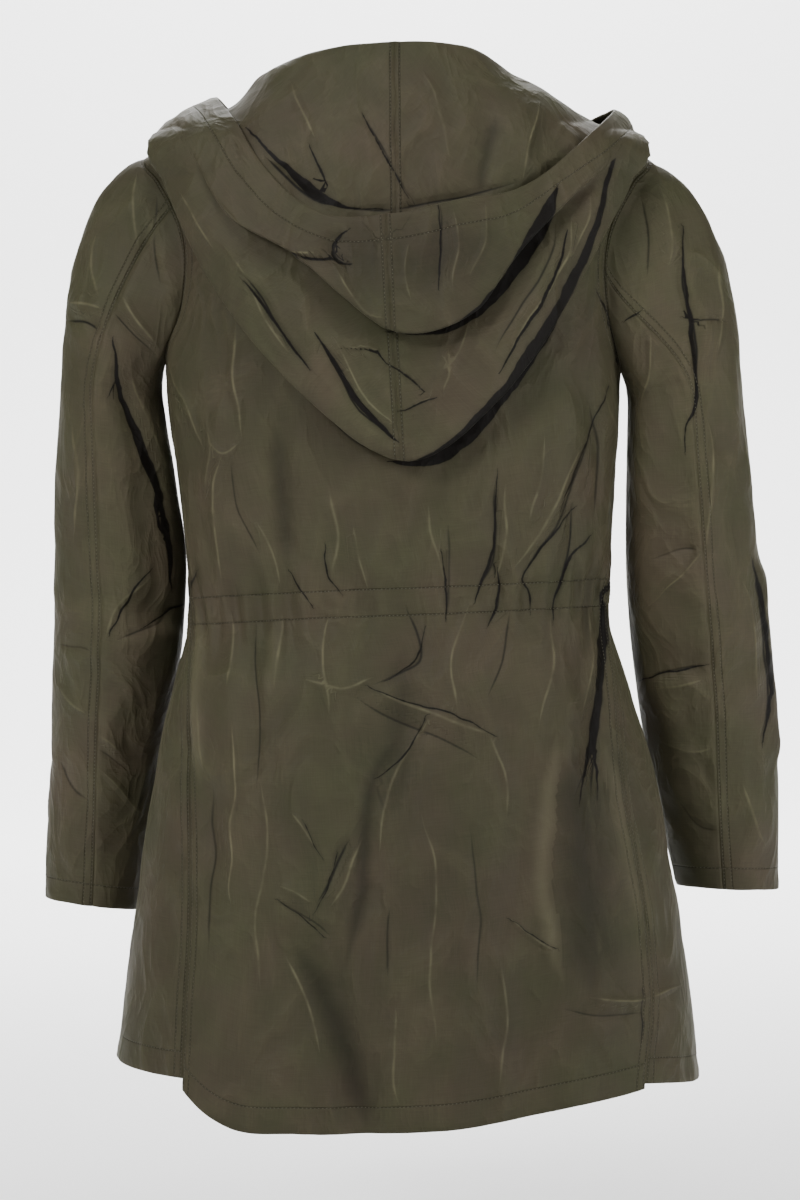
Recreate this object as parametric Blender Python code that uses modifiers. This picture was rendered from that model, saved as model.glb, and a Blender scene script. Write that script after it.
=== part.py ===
"""Hooded zip jacket with a gathered waist, standing open and hollow as if worn.

Metres, +Z up. The jacket faces -Y and the wearer's left is +X. The origin lies on the
body's axis at the height of the neck seam, where the wearer's neck and shoulders hold it.
Tables are in millimetres and are scaled by MM where they are read.
"""
import bpy
import bmesh
import numpy as np
from math import pi, radians
from mathutils.kdtree import KDTree

MM = 0.001

# ---- driving sizes ----------------------------------------------------------
CLOTH = 1.2 * MM                # wall of every cloth panel
SEAM = 0.3 * MM                 # gap between neighbours at a seam
SEAM_LEAN = 0.08 * MM           # room for walls that lean towards each other at a body seam
SLEEVE_LEAN = 0.15 * MM         # the same at a sleeve's seams
HOOD_LEAN = 0.28 * MM           # and at the hood's centre seam
SHOULDER_TIP = -46.0            # height of the armhole's top
ARMPIT = {"left": -200.0, "right": -206.0}
ARMHOLE_BACK = 46.0             # half width of the armhole, behind the shoulder line
ARMHOLE_FRONT = 50.0
WAIST_LEFT = -394.0             # height of the drawn-in waist at the left seam
WAIST_RIGHT = -379.0
CASING_WIDTH = 20.0             # strip stitched inside the waist
CASING_WALL = 1.0 * MM
SECTION_POWER = 2.4             # squareness of the body's level sections
GATHER_HEIGHT = 2.4             # ridge height of the waist gathers
GATHER_REACH = 26.0             # distance over which they die away
GATHERS_BACK = 16
GATHERS_FRONT = 7
COLUMNS_PER_GATHER = 3
GATHER_FADE = 0.8               # share across a front from which the gathers flatten
CASING_TO_TAPE = 3.0            # gap between the casing's ends and the zip tapes
FOLD_FADE = 30.0                # depth from the side line over which the large folds set in
NECK_FADE = 60.0                # height below the neck over which folds and gathers set in
ZIP_HALF = 5.0                  # from the centre line to each front's edge
SLEEVE_CAP_END = -236.0         # height where the sleeve cap becomes a plain tube
ARMHOLE_LIFT = 1.9              # the sleeve's edge lies over the edge of the armhole
CAP_OUT = (0.25, 0.75)          # how far the cap sets off sideways: all round, and more at the top
CAP_DOWN = (0.35, 0.40)         # how far it sets off downwards: all round, and more lower down
MM_A_DEGREE = 0.8               # cloth round a sleeve for each degree
NECK_LIFT = 1.9                 # the hood's edge stands on the edge of the neck
HOOD_ON_BODY = 7.0              # clearance of the hood's lower layer from the body
HOOD_LAYERS = 7.0               # further clearance of its upper layer
HOOD_LIFT_LIMIT = 22.0          # most that a point of the hood is moved to get clear
SKIN_COLUMNS = 180              # grid of the body's surface that the hood is kept clear of
SKIN_ROWS = 90
SKIN_DEPTH = -300.0             # and its lowest level
TURN_STEP = 0.01                # small steps round and up a surface that give its slope
LEVEL_STEP = 1.0
SLOPE_STEP = 4.0                # longer step for the slope of the sleeve and of the front

# Level sections of the body. left and right are the half widths, back and front the
# depths, seam_l and seam_r how far behind the side line the side seams run, and drop is
# how much lower the section lies at the centre front.
BODY = ("z", "left", "right", "back", "front", "seam_l", "seam_r", "drop")
BODY_ROWS = (
    (0, 74, 74, 62, 90, 0, 0, 60),
    (-10, 102, 102, 71, 94, 0, 0, 56),
    (-22, 135, 135, 79, 98, 0, 0, 51),
    (-34, 166, 166, 86, 101, 0, 0, 46),
    (-46, 191, 192, 89, 103, 1, 1, 40),
    (-66, 187, 187, 92, 105, 2, 2, 30),
    (-100, 179, 178, 95, 109, 4, 4, 18),
    (-150, 176, 174, 97, 113, 6, 6, 6),
    (-206, 176, 172, 98, 115, 8, 8, 0),
    (-272, 169, 169, 97, 112, 10, 10, 0),
    (-349, 160, 165, 92, 107, 16, 16, 0),
    (-388, 157, 163, 90, 105, 22, 20, 0),
    (-461, 173, 182, 103, 110, 55, 52, 0),
    (-516, 184, 197, 109, 113, 68, 66, 0),
    (-573, 193, 207, 115, 117, 80, 69, 0),
    (-627, 200, 217, 118, 120, 86, 71, 0),
    (-685, 208, 226, 121, 123, 90, 76, 0),
    (-750, 217, 232, 123, 126, 94, 85, 0),
    (-790, 222, 235, 124, 127, 96, 87, 0),
)

# Hem height against the share of the way across each panel, left seam first on the back
# and side seam first on the fronts.
SIDE_HEM = -745.0
BACK_HEM = ((0, -750), (0.06, -764), (0.14, -776), (0.30, -779), (0.42, -779),
            (0.55, -775), (0.66, -769), (0.78, -761), (0.88, -756), (1, -750))
FRONT_HEM = {"left": ((0, -741), (0.35, -734), (1, -742)),
             "right": ((0, -746), (0.35, -752), (1, -746))}

# Largest folds of the body: a line on the front or back view from (x0, z0) to (x1, z1),
# its half width, and how far the cloth stands out along it (negative is a trough).
FOLD = ("side", "x0", "z0", "x1", "z1", "half", "height")
FOLD_ROWS = (
    ("back", 129, -250, 131, -372, 13, 4.0),
    ("back", 92, -240, 82, -365, 14, -3.5),
    ("back", 168, -190, 150, -380, 12, 3.5),
    ("back", -80, -290, -66, -372, 13, -3.5),
    ("back", -128, -240, -112, -365, 13, 3.5),
    ("back", 10, -290, -6, -372, 16, 3.0),
    ("back", 124, -440, 122, -640, 14, 5.0),
    ("back", 150, -500, 96, -720, 16, -4.0),
    ("back", 76, -640, 24, -790, 18, -8.0),
    ("back", -16, -470, 40, -670, 16, -5.0),
    ("back", 62, -420, 66, -560, 16, 4.0),
    ("back", -50, -560, -40, -790, 20, 5.0),
    ("back", -152, -375, -142, -500, 11, -7.0),
    ("back", -132, -470, -152, -700, 20, 6.0),
    ("back", -96, -520, -98, -780, 17, -5.0),
    ("front", 120, -430, 136, -740, 20, 6.0),
    ("front", 74, -420, 78, -740, 20, -6.0),
    ("front", 36, -450, 40, -740, 16, 4.0),
    ("front", -124, -430, -140, -740, 20, 6.0),
    ("front", -80, -420, -84, -740, 20, -6.0),
    ("front", -38, -450, -42, -740, 16, 4.0),
    ("front", 118, -190, 96, -360, 16, -4.0),
    ("front", -118, -190, -96, -360, 16, -4.0),
    ("front", 62, -240, 56, -365, 15, 3.0),
    ("front", -62, -240, -56, -365, 15, 3.0),
)

# Level sections of the sleeves below the cap: distance of the outer and inner sides from
# the body's axis, centre and half depth front to back, and how far the inner side hangs
# lower than the outer one.
SLEEVE = ("z", "outer", "inner", "y", "depth", "tilt")
SLEEVE_ROWS = {
    "left": (
        (-236, 259, 180, -4, 50, 0),
        (-300, 263, 170, -9, 50, 0),
        (-360, 265, 164, -16, 50, 0),
        (-420, 265, 167, -27, 49, 0),
        (-480, 269, 179, -48, 45, 2),
        (-540, 273, 189, -64, 43, 5),
        (-618, 277, 202, -80, 39, 10),
    ),
    "right": (
        (-236, 268, 179, -4, 50, 0),
        (-300, 273, 178, -9, 50, 0),
        (-360, 279, 178, -16, 50, 0),
        (-420, 288, 183, -27, 49, 0),
        (-480, 297, 192, -48, 45, 0),
        (-540, 300, 205, -64, 43, 0),
        (-612, 302, 222, -80, 39, -3),
    ),
}
# Where each sleeve's two long seams run round it, in degrees from its outer side towards
# the back, at the armhole, the end of the cap, the elbow and the cuff.
SEAM_PLACES = (0.0, 0.30, 0.60, 1.0)
BACK_SEAM = {"left": (62, 74, 78, 94), "right": (98, 88, 84, 100)}
FRONT_SEAM = (228, 236, 240, 240)

# Soft folds across and along the sleeves: angle round the sleeve and height of each end,
# half width, and how far the cloth stands out.
SLEEVE_FOLD = ("side", "a0", "z0", "a1", "z1", "half", "height")
SLEEVE_FOLD_ROWS = (
    ("left", 118, -190, 128, -390, 16, -6.0),
    ("left", 70, -385, 150, -400, 14, -4.0),
    ("left", 60, -425, 150, -410, 12, 3.5),
    ("left", 95, -470, 95, -560, 12, 3.0),
    ("left", 20, -160, 70, -180, 10, -4.0),
    ("right", 58, -120, 66, -270, 13, -5.0),
    ("right", 128, -160, 136, -300, 14, 4.0),
    ("right", 60, -240, 92, -380, 12, 4.0),
    ("right", 60, -440, 140, -430, 14, -4.0),
    ("right", 10, -370, 26, -500, 12, 3.5),
    ("left", 250, -250, 262, -420, 16, -4.0),
    ("right", 250, -250, 262, -420, 16, -4.0),
)

# The folded-down hood. Each row is a line round the neck from the left front to the right
# front, through thirteen stations: front, chest, side, tip, blade and mid on the left, the
# centre, then the same on the right. The first row, the neck seam, follows from the angles.
HOOD_STATIONS = (0, 0.10, 0.20, 0.25, 0.30, 0.40, 0.50, 0.60, 0.70, 0.75, 0.80, 0.90, 1)
HOOD_NECK_ANGLES = (-84, -45, -5, 14, 32, 62, 90, 118, 148, 166, 185, 225, 264)
HOOD_ROWS = (
    ("crown fold", (
        (10, -94, -50), (62, -72, -16), (106, 0, 6), (105, 22, 13), (96, 40, 17),
        (62, 63, 26), (1, 74, 31), (-56, 64, 29),
        (-88, 40, 14), (-99, 22, 10), (-104, 2, 4), (-62, -72, -16), (-10, -94, -50),
    )),
    ("inner layer", (
        (13, -98, -52), (80, -82, -27), (130, 3, -9), (122, 48, -13), (108, 79, -26),
        (66, 101, -70), (0, 106, -92), (-60, 102, -74),
        (-106, 82, -28), (-124, 50, -10), (-130, 3, -9), (-80, -82, -27), (-13, -98, -52),
    )),
    ("pouch bottom", (
        (17, -101, -60), (112, -92, -52), (178, 3, -27), (180, 42, -44), (160, 72, -98),
        (96, 104, -200), (-3, 114, -275), (-78, 109, -228),
        (-138, 84, -138), (-174, 56, -66), (-180, 3, -31), (-112, -92, -52), (-17, -101, -60),
    )),
    ("outer layer", (
        (18, -104, -58), (111, -97, -48), (176, 6, -18), (175, 49, -36), (150, 88, -92),
        (90, 118, -166), (0, 126, -232), (-72, 122, -196),
        (-126, 100, -126), (-172, 66, -60), (-182, 9, -23), (-111, -97, -48), (-18, -104, -58),
    )),
    ("tuck", (
        (17, -106, -55), (106, -99, -41), (168, 6, -13), (165, 55, -30), (135, 92, -80),
        (72, 116, -124), (4, 122, -168), (-56, 119, -158),
        (-103, 102, -106), (-164, 71, -54), (-180, 12, -18), (-106, -99, -42), (-17, -106, -55),
    )),
    ("flap fold", (
        (16, -108, -52), (100, -99, -36), (160, 8, -8), (156, 63, -28), (132, 103, -84),
        (71, 132, -132), (4, 140, -184), (-55, 138, -172),
        (-100, 119, -117), (-158, 78, -50), (-176, 15, -14), (-102, -99, -38), (-16, -108, -52),
    )),
    ("brim", (
        (15, -108, -48), (92, -96, -30), (138, 9, 0), (126, 66, -18), (102, 96, -58),
        (58, 119, -98), (8, 127, -101), (-45, 125, -90),
        (-108, 102, -70), (-150, 74, -32), (-168, 16, -9), (-96, -96, -33), (-15, -108, -48),
    )),
)

HALF_ROW = 0.5
POUCH_ROW = 3.0

# Zip: tapes, chain, slider and the hinged pull. The slider's sizes are in metres.
ZIP_TOP_LEVEL = -3.0
ZIP_BOTTOM = -736.0
ZIP_LEVELS = (ZIP_TOP_LEVEL, -14, -27, -38, -54, -80, -120, -172, -230, -290, -340, -376, -398, -430,
              -480, -540, -600, -670, ZIP_BOTTOM)
TAPE_HALF = 13.0
TAPE_WALL = 1.0 * MM
TAPE_ROOM = 0.5                 # extra clearance between the tapes and the fronts
CHAIN_HALF = 2.8
CHAIN_WALL = 2.2 * MM
CHAIN_FIRST_STEP = 4.0          # least height of the chain's first stretch below the slider
SLIDER_LEVEL = -24.0
SLIDER_SIZE = (0.0086, 0.0056, 0.0110)
CHAIN_BELOW_SLIDER = 1.5
POST_HALF = 0.0028              # half width of the post that parts the chain's rows
POST_HEIGHT = 0.0030
TAPE_SLOT = 0.0018
CHAIN_SLOT = 0.0032
BAIL_RISE = 0.0034              # the bail that holds the pull, and its wire
BAIL_WIRE = 0.0008
BAIL_LENGTH = 0.0060
BAIL_SUNK = 0.25                # share of the wire's size by which the legs reach into the slider
PULL_SIZE = (0.0074, 0.0012, 0.0260)
PULL_BAR = 0.0012               # metal left above the eye
PULL_EYE = 0.0052

# Panel grids: share of the way along each stretch where the rows of points lie.
UPPER_LEVELS = (-206, -202, -192, -172, -146, -118, -90, -68, -54, -48, -46, -38, -27, -14, 0)
CHEST_SHARES = (0.30, 0.62, 0.82, 0.93)
SKIRT_SHARES = (0.07, 0.16, 0.30, 0.46, 0.62, 0.80)
CAP_SHARES = (0.0, 0.10, 0.25, 0.45, 0.70, 1.0)
SLEEVE_STEPS = 13
SLEEVE_COLUMNS = {"outer": 12, "under": 8}
HOOD_ACROSS = (0, 0.055, 0.10, 0.14, 0.172, 0.20, 0.222, 0.24, 0.254, 0.267, 0.28, 0.296, 0.32, 0.355,
               0.395, 0.44, 0.5)
HOOD_SHARES = (0.0, 0.5, 0.9, 1.1, 1.4, 1.75, 2.1, 2.4, 2.7, 2.9, 3.1, 3.5, 4.0, 4.6, 5.0, 5.4,
               5.8, 6.1, 6.5, 7.0)

# Colours: linear RGB, roughness, metallic.
CLOTH_LOOK = ((0.090, 0.083, 0.058, 1.0), 0.55, 0.0)
TAPE_LOOK = ((0.050, 0.047, 0.034, 1.0), 0.70, 0.0)
METAL_LOOK = ((0.200, 0.180, 0.140, 1.0), 0.35, 0.9)


# ---- curves and sections ----------------------------------------------------
def smooth(knots, values, at):
    """Cubic curve through (knots, values), with slopes taken from the neighbours."""
    knots = np.asarray(knots, float)
    values = np.asarray(values, float)
    at = np.clip(np.asarray(at, float), knots[0], knots[-1])
    slopes = np.gradient(values, knots, axis=0)
    index = np.clip(np.searchsorted(knots, at, side="right") - 1, 0, len(knots) - 2)
    step = knots[index + 1] - knots[index]
    share = (at - knots[index]) / step
    if values.ndim > 1:
        share = share[..., None]
        step = step[..., None]
    rise = share * share * (3 - 2 * share)
    return ((1 - rise) * values[index] + rise * values[index + 1]
            + step * share * (1 - share) ** 2 * slopes[index]
            - step * share ** 2 * (1 - share) * slopes[index + 1])


def column(name):
    """One column of the body table, from the lowest section up."""
    place = BODY.index(name)
    return [row[place] for row in reversed(BODY_ROWS)]


LEVELS = column("z")


def body_size(name, level):
    """A named size of the body's section at a level."""
    return smooth(LEVELS, column(name), level)


def waist_level(theta):
    """Height of the drawn-in waist, which is lower on the left."""
    share = 0.5 * (1 - np.cos(theta))
    return WAIST_LEFT + (WAIST_RIGHT - WAIST_LEFT) * share


def distance_to_line(x, z, start, end):
    """Distance of (x, z) from a line between two points."""
    along = np.array(end, float) - np.array(start, float)
    share = ((x - start[0]) * along[0] + (z - start[1]) * along[1]) / along.dot(along)
    near = np.clip(share, 0, 1)
    return np.hypot(x - start[0] - near * along[0], z - start[1] - near * along[1])


def body_folds(x, y, z):
    """How far the large folds move the cloth out."""
    out = np.zeros_like(x)
    for row in FOLD_ROWS:
        fold = dict(zip(FOLD, row))
        facing = np.clip((y if fold["side"] == "back" else -y) / FOLD_FADE, 0, 1)
        away = distance_to_line(x, z, (fold["x0"], fold["z0"]), (fold["x1"], fold["z1"]))
        out += facing * fold["height"] * np.exp(-(away / fold["half"]) ** 2)
    return out


def body_surface(theta, level, wave=0.0):
    """Points of the body at an angle from the left side towards the back, and a level.

    wave is the height of the waist gathers there, from -1 to 1.
    """
    theta, level, wave = np.broadcast_arrays(np.asarray(theta, float), level, wave)
    cos, sin = np.cos(theta), np.sin(theta)
    width = np.where(cos >= 0, body_size("left", level), body_size("right", level))
    depth = np.where(sin >= 0, body_size("back", level), body_size("front", level))
    x = width * np.sign(cos) * np.abs(cos) ** (2 / SECTION_POWER)
    y = depth * np.sign(sin) * np.abs(sin) ** (2 / SECTION_POWER)
    z = level - body_size("drop", level) * np.clip(-sin, 0, 1) ** 2
    push = body_folds(x, y, z)
    reach = (level - waist_level(theta)) / GATHER_REACH
    push = push + GATHER_HEIGHT * wave * np.exp(-reach ** 2)
    length = np.hypot(x / width, y / depth) + 1e-9
    outward = np.stack([x / width ** 2, y / depth ** 2], -1)
    outward /= np.linalg.norm(outward, axis=-1, keepdims=True) + 1e-12
    fade = np.clip(-level / NECK_FADE, 0, 1) * np.minimum(length, 1.0)
    x = x + outward[..., 0] * push * fade
    y = y + outward[..., 1] * push * fade
    return np.stack([x, y, z], -1)


def angle_at_depth(level, y):
    """Angle behind (or in front of) the side line where the section has depth y."""
    depth = body_size("back", level) if y >= 0 else body_size("front", level)
    return float(np.sign(y) * np.arcsin(np.clip(abs(y) / depth, 0, 1) ** (SECTION_POWER / 2)))


def armhole_depth(side, level, half):
    """Half width of the armhole at a level; nothing above its top or below its bottom."""
    bottom = ARMPIT[side]
    middle = 0.5 * (SHOULDER_TIP + bottom)
    reach = 0.5 * (SHOULDER_TIP - bottom)
    return half * np.sqrt(max(0.0, 1 - ((level - middle) / reach) ** 2))


def seam_angle(side, level, panel):
    """Angle of a panel's edge from the side line: side seam, armhole, then shoulder seam."""
    seam = float(body_size("seam_l" if side == "left" else "seam_r", level))
    half = ARMHOLE_BACK if panel == "back" else -ARMHOLE_FRONT
    return angle_at_depth(level, seam + armhole_depth(side, level, half))


# ---- mesh helpers -----------------------------------------------------------
def material(name, look):
    """A plain Principled material."""
    colour, roughness, metallic = look
    made = bpy.data.materials.new(name)
    made.use_nodes = True
    shader = made.node_tree.nodes["Principled BSDF"]
    shader.inputs["Base Color"].default_value = colour
    shader.inputs["Roughness"].default_value = roughness
    shader.inputs["Metallic"].default_value = metallic
    return made


def add_object(name, mesh, look, collection):
    """Put a mesh in the collection under its node name, with its own material."""
    mesh.materials.append(material(name, look))
    obj = bpy.data.objects.new(name, mesh)
    collection.objects.link(obj)
    return obj


def panel(name, points, wall, look, collection):
    """A cloth panel: the grid of points (rows, columns, 3) in mm, as a shell wall thick."""
    rows, columns, _ = points.shape
    sheet = bmesh.new()
    verts = [sheet.verts.new(point * MM) for point in points.reshape(-1, 3)]
    for row in range(rows - 1):
        for col in range(columns - 1):
            first = row * columns + col
            corners = (first, first + 1, first + columns + 1, first + columns)
            sheet.faces.new([verts[corner] for corner in corners])
    bmesh.ops.triangulate(sheet, faces=sheet.faces[:])
    mesh = bpy.data.meshes.new(name)
    sheet.to_mesh(mesh)
    sheet.free()
    obj = add_object(name, mesh, look, collection)
    shell = obj.modifiers.new("wall", "SOLIDIFY")
    shell.thickness = wall
    shell.offset = 0.0
    mesh.shade_smooth()
    return obj


def pull_back(points, lean=SEAM_LEAN):
    """Draw a grid's first and last columns in from the seams, so that the walls stay apart."""
    points = points.copy()
    for edge, inner in ((0, 1), (-1, -2)):
        along = points[:, inner] - points[:, edge]
        along /= np.linalg.norm(along, axis=-1, keepdims=True)
        points[:, edge] += along * (0.5 * SEAM + lean) / MM
    return points


def move_out(points, distance):
    """The grid moved along its own outward normals; columns run from the left to the right."""
    normals = np.cross(np.gradient(points, axis=1), np.gradient(points, axis=0))
    normals /= np.linalg.norm(normals, axis=-1, keepdims=True)
    from_axis = points * np.array([1.0, 1.0, 0.0])
    facing = np.sign(np.sum(normals * from_axis, -1, keepdims=True))
    return points + normals * facing * distance


# ---- body panels ------------------------------------------------------------
def body_levels(waist, hem):
    """Levels of one column of a body panel, from its hem up to the neck."""
    skirt_top = waist - 0.5 * CASING_WIDTH
    skirt = [skirt_top + (SIDE_HEM - skirt_top) * share for share in reversed(SKIRT_SHARES)]
    chest_foot = waist + 0.5 * CASING_WIDTH
    chest = [UPPER_LEVELS[0] + (chest_foot - UPPER_LEVELS[0]) * share for share in reversed(CHEST_SHARES)]
    return np.array([hem] + skirt + [skirt_top, chest_foot] + chest + list(UPPER_LEVELS))


def gather_wave(share, gathers, start, fade_from):
    """Height of the gathers across a panel, fading where the zip holds the cloth flat."""
    fade = np.clip((1 - share) / (1 - fade_from), 0, 1) if fade_from < 1 else 1.0
    return np.cos(2 * pi * (gathers * share + start)) * fade


def body_panel_points(edge_from, edge_to, hem, gathers, start, fade_from=1.0):
    """Grid of a body panel between two edge functions of the level."""
    grid = []
    for share in np.linspace(0, 1, gathers * COLUMNS_PER_GATHER + 1):
        middle = edge_from(WAIST_LEFT) + (edge_to(WAIST_LEFT) - edge_from(WAIST_LEFT)) * share
        hem_here = float(smooth([row[0] for row in hem], [row[1] for row in hem], share))
        levels = body_levels(float(waist_level(middle)), hem_here)
        starts = np.array([edge_from(level) for level in levels])
        ends = np.array([edge_to(level) for level in levels])
        theta = starts + (ends - starts) * share
        grid.append(body_surface(theta, levels, gather_wave(share, gathers, start, fade_from)))
    return np.stack(grid, 1)


def angle_at_width(level, x):
    """Angle on the front at a distance x from the centre line."""
    width = body_size("left" if x >= 0 else "right", level)
    turn = np.arcsin(np.clip(abs(x) / width, 0, 1) ** (SECTION_POWER / 2))
    return -0.5 * pi + np.sign(x) * turn


def body_grids():
    """The back from its left seam to its right seam, and each front from its side seam to the zip."""
    def left_seam(panel_name):
        return lambda level: seam_angle("left", level, panel_name)

    def right_seam(panel_name):
        turn = pi if panel_name == "back" else -pi
        return lambda level: turn - seam_angle("right", level, panel_name)

    def zip_edge(x):
        return lambda level: float(angle_at_width(level, x))

    return {
        "back": body_panel_points(left_seam("back"), right_seam("back"), BACK_HEM, GATHERS_BACK, 0.25),
        "front_left": body_panel_points(left_seam("front"), zip_edge(ZIP_HALF), FRONT_HEM["left"],
                                        GATHERS_FRONT, -0.25, GATHER_FADE),
        "front_right": body_panel_points(right_seam("front"), zip_edge(-ZIP_HALF), FRONT_HEM["right"],
                                         GATHERS_FRONT, -0.25, GATHER_FADE),
    }


def build_body(collection):
    """Back and two fronts, with the casing strip inside their waist."""
    grids = body_grids()
    for name, points in grids.items():
        if name == "front_left":
            points = points[:, ::-1]
        panel(name, pull_back(points), CLOTH, CLOTH_LOOK, collection)

    casing_row = 1 + len(SKIRT_SHARES)
    columns = np.concatenate([grids["front_left"][:, ::-1], grids["back"][:, 1:-1], grids["front_right"]], 1)
    band = columns[casing_row - 1:casing_row + 3]
    inset = (0.5 * CLOTH + SEAM + 0.5 * CASING_WALL) / MM
    band = move_out(band, -inset)[1:3]
    clear = np.abs(band[0, :, 0]) > TAPE_HALF + CASING_TO_TAPE
    keep = clear | (band[0, :, 1] > 0)
    panel("waist_casing", band[:, keep], CASING_WALL, TAPE_LOOK, collection)


# ---- sleeves ----------------------------------------------------------------
def sleeve_size(side, name, level):
    """A named size of the sleeve's section at a level."""
    rows = SLEEVE_ROWS[side][::-1]
    place = SLEEVE.index(name)
    return smooth([row[0] for row in rows], [row[place] for row in rows], level)


def sleeve_tube(side, angle, level):
    """Points of the sleeve below its cap, at an angle from the outer side to the back."""
    outer, inner = sleeve_size(side, "outer", level), sleeve_size(side, "inner", level)
    depth = sleeve_size(side, "depth", level)
    cos, sin = np.cos(angle), np.sin(angle)
    half = 0.5 * (outer - inner)
    push = np.zeros_like(half * cos)
    around = MM_A_DEGREE * (np.degrees(angle) % 360)
    for row in SLEEVE_FOLD_ROWS:
        fold = dict(zip(SLEEVE_FOLD, row))
        if fold["side"] == side:
            start = (MM_A_DEGREE * fold["a0"], fold["z0"])
            end = (MM_A_DEGREE * fold["a1"], fold["z1"])
            away = distance_to_line(around, level, start, end)
            push = push + fold["height"] * np.exp(-(away / fold["half"]) ** 2)
    x = 0.5 * (outer + inner) + (half + push) * cos
    y = sleeve_size(side, "y", level) + (depth + push) * sin
    z = level - sleeve_size(side, "tilt", level) * 0.5 * (1 - cos)
    return np.stack([x if side == "left" else -x, y, z], -1)


def armhole_point(side, angle):
    """Point of the armhole, from the shoulder tip (0) over the back, and its outward normal."""
    bottom = ARMPIT[side]
    middle, reach = 0.5 * (SHOULDER_TIP + bottom), 0.5 * (SHOULDER_TIP - bottom)
    level = middle + reach * np.cos(angle)
    half = ARMHOLE_BACK if np.sin(angle) >= 0 else ARMHOLE_FRONT
    seam = float(body_size("seam_l" if side == "left" else "seam_r", level))
    theta = angle_at_depth(level, seam + half * np.sin(angle))
    if side == "right":
        theta = pi - theta
    across = body_surface(theta + TURN_STEP, level) - body_surface(theta - TURN_STEP, level)
    above = body_surface(theta, level + LEVEL_STEP) - body_surface(theta, level - LEVEL_STEP)
    normal = np.cross(across, above)
    return body_surface(theta, level), normal / np.linalg.norm(normal)


def sleeve_curve(side, angle, shares):
    """Points down the sleeve at one angle: the cap, then the tube, for shares 0 to 1."""
    start, normal = armhole_point(side, angle)
    start = start + normal * ARMHOLE_LIFT
    end = sleeve_tube(side, angle, np.array(SLEEVE_CAP_END))
    below = sleeve_tube(side, angle, np.array(SLEEVE_CAP_END - SLOPE_STEP))
    down = (below - end) / np.linalg.norm(below - end)
    span = np.linalg.norm(end - start)
    upness = max(0.0, np.cos(angle))
    sideways = CAP_OUT[0] + CAP_OUT[1] * upness
    downwards = CAP_DOWN[0] + CAP_DOWN[1] * (1 - upness)
    leave = np.array([sideways if side == "left" else -sideways, 0.0, -downwards])
    leave /= np.linalg.norm(leave)
    cap_share = SEAM_PLACES[1]
    points = []
    low = SLEEVE_ROWS[side][-1][0]
    for share in shares:
        if share <= cap_share:
            t = share / cap_share
            rise = t * t * (3 - 2 * t)
            bulge = t * (1 - t) ** 2 * leave - t * t * (1 - t) * down
            points.append((1 - rise) * start + rise * end + span * bulge)
        else:
            level = SLEEVE_CAP_END + (low - SLEEVE_CAP_END) * (share - cap_share) / (1 - cap_share)
            points.append(sleeve_tube(side, angle, np.array(level)))
    return np.array(points)


def sleeve_panel_points(side, which, columns):
    """Grid of the outer or the under sleeve, armhole first."""
    cap = [share * SEAM_PLACES[1] for share in CAP_SHARES]
    tube = list(np.linspace(SEAM_PLACES[1], 1.0, SLEEVE_STEPS + 1)[1:])
    shares = np.array(cap + tube)
    back = smooth(SEAM_PLACES, BACK_SEAM[side], shares)
    front = smooth(SEAM_PLACES, FRONT_SEAM, shares)
    grid = []
    for across in np.linspace(0, 1, columns + 1):
        column_points = []
        for share, back_angle, front_angle in zip(shares, back, front):
            if which == "outer":
                angle = front_angle - 360 + (back_angle - front_angle + 360) * across
            else:
                angle = back_angle + (front_angle - back_angle) * across
            column_points.append(sleeve_curve(side, radians(angle), [share])[0])
        grid.append(column_points)
    return np.array(grid).transpose(1, 0, 2)


def build_sleeves(collection):
    """Each sleeve in an outer and an under panel."""
    for side in ("left", "right"):
        for which, columns in SLEEVE_COLUMNS.items():
            points = pull_back(sleeve_panel_points(side, which, columns), SLEEVE_LEAN)
            if side == "left":
                points = points[:, ::-1]
            panel(f"sleeve_{side}_{which}", points, CLOTH, CLOTH_LOOK, collection)


# ---- hood -------------------------------------------------------------------
def body_skin():
    """Points and outward normals over the top of the body, and a tree to find them by place."""
    theta = np.linspace(-pi, pi, SKIN_COLUMNS, endpoint=False)[None, :]
    level = np.linspace(0, SKIN_DEPTH, SKIN_ROWS)[:, None]
    points = body_surface(theta, level)
    across = body_surface(theta + TURN_STEP, level) - body_surface(theta - TURN_STEP, level)
    upward = body_surface(theta, level + TURN_STEP) - body_surface(theta, level - LEVEL_STEP)
    normals = np.cross(across, upward).reshape(-1, 3)
    normals /= np.linalg.norm(normals, axis=-1, keepdims=True)
    points = points.reshape(-1, 3)
    tree = KDTree(len(points))
    for index, point in enumerate(points):
        tree.insert(point, index)
    tree.balance()
    return points, normals, tree


def lift_off_body(points, margins, skin):
    """Move points that come closer to the body than their margins out along its normals."""
    near, normals, tree = skin
    index = np.array([tree.find(point)[1] for point in points.reshape(-1, 3)])
    normal = normals[index].reshape(points.shape)
    height = np.sum((points - near[index].reshape(points.shape)) * normal, -1)
    return points + normal * np.clip(margins - height, 0, HOOD_LIFT_LIMIT)[..., None]


def hood_column(share, downs, skin):
    """One line of the hood, where downs runs from the neck seam (0) over HOOD_ROWS to the brim.

    It is HOOD_ON_BODY clear of the body from half a row on, and its upper layer, from the
    row after the pouch's bottom, is clear by HOOD_LAYERS more.
    """
    angle = np.radians(smooth(HOOD_STATIONS, HOOD_NECK_ANGLES, share))
    neck = body_surface(angle, 0.0) + np.array([0, 0, NECK_LIFT])
    lines = [neck] + [smooth(HOOD_STATIONS, row, np.array([share]))[0] for _, row in HOOD_ROWS]
    downs = np.array(downs, float)
    points = smooth(np.arange(len(lines)), np.array(lines), downs)
    lower = HOOD_ON_BODY * np.clip(downs / HALF_ROW, 0, 1)
    upper = HOOD_LAYERS * np.clip((downs - POUCH_ROW) / HALF_ROW, 0, 1)
    return lift_off_body(points, lower + upper, skin)


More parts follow.
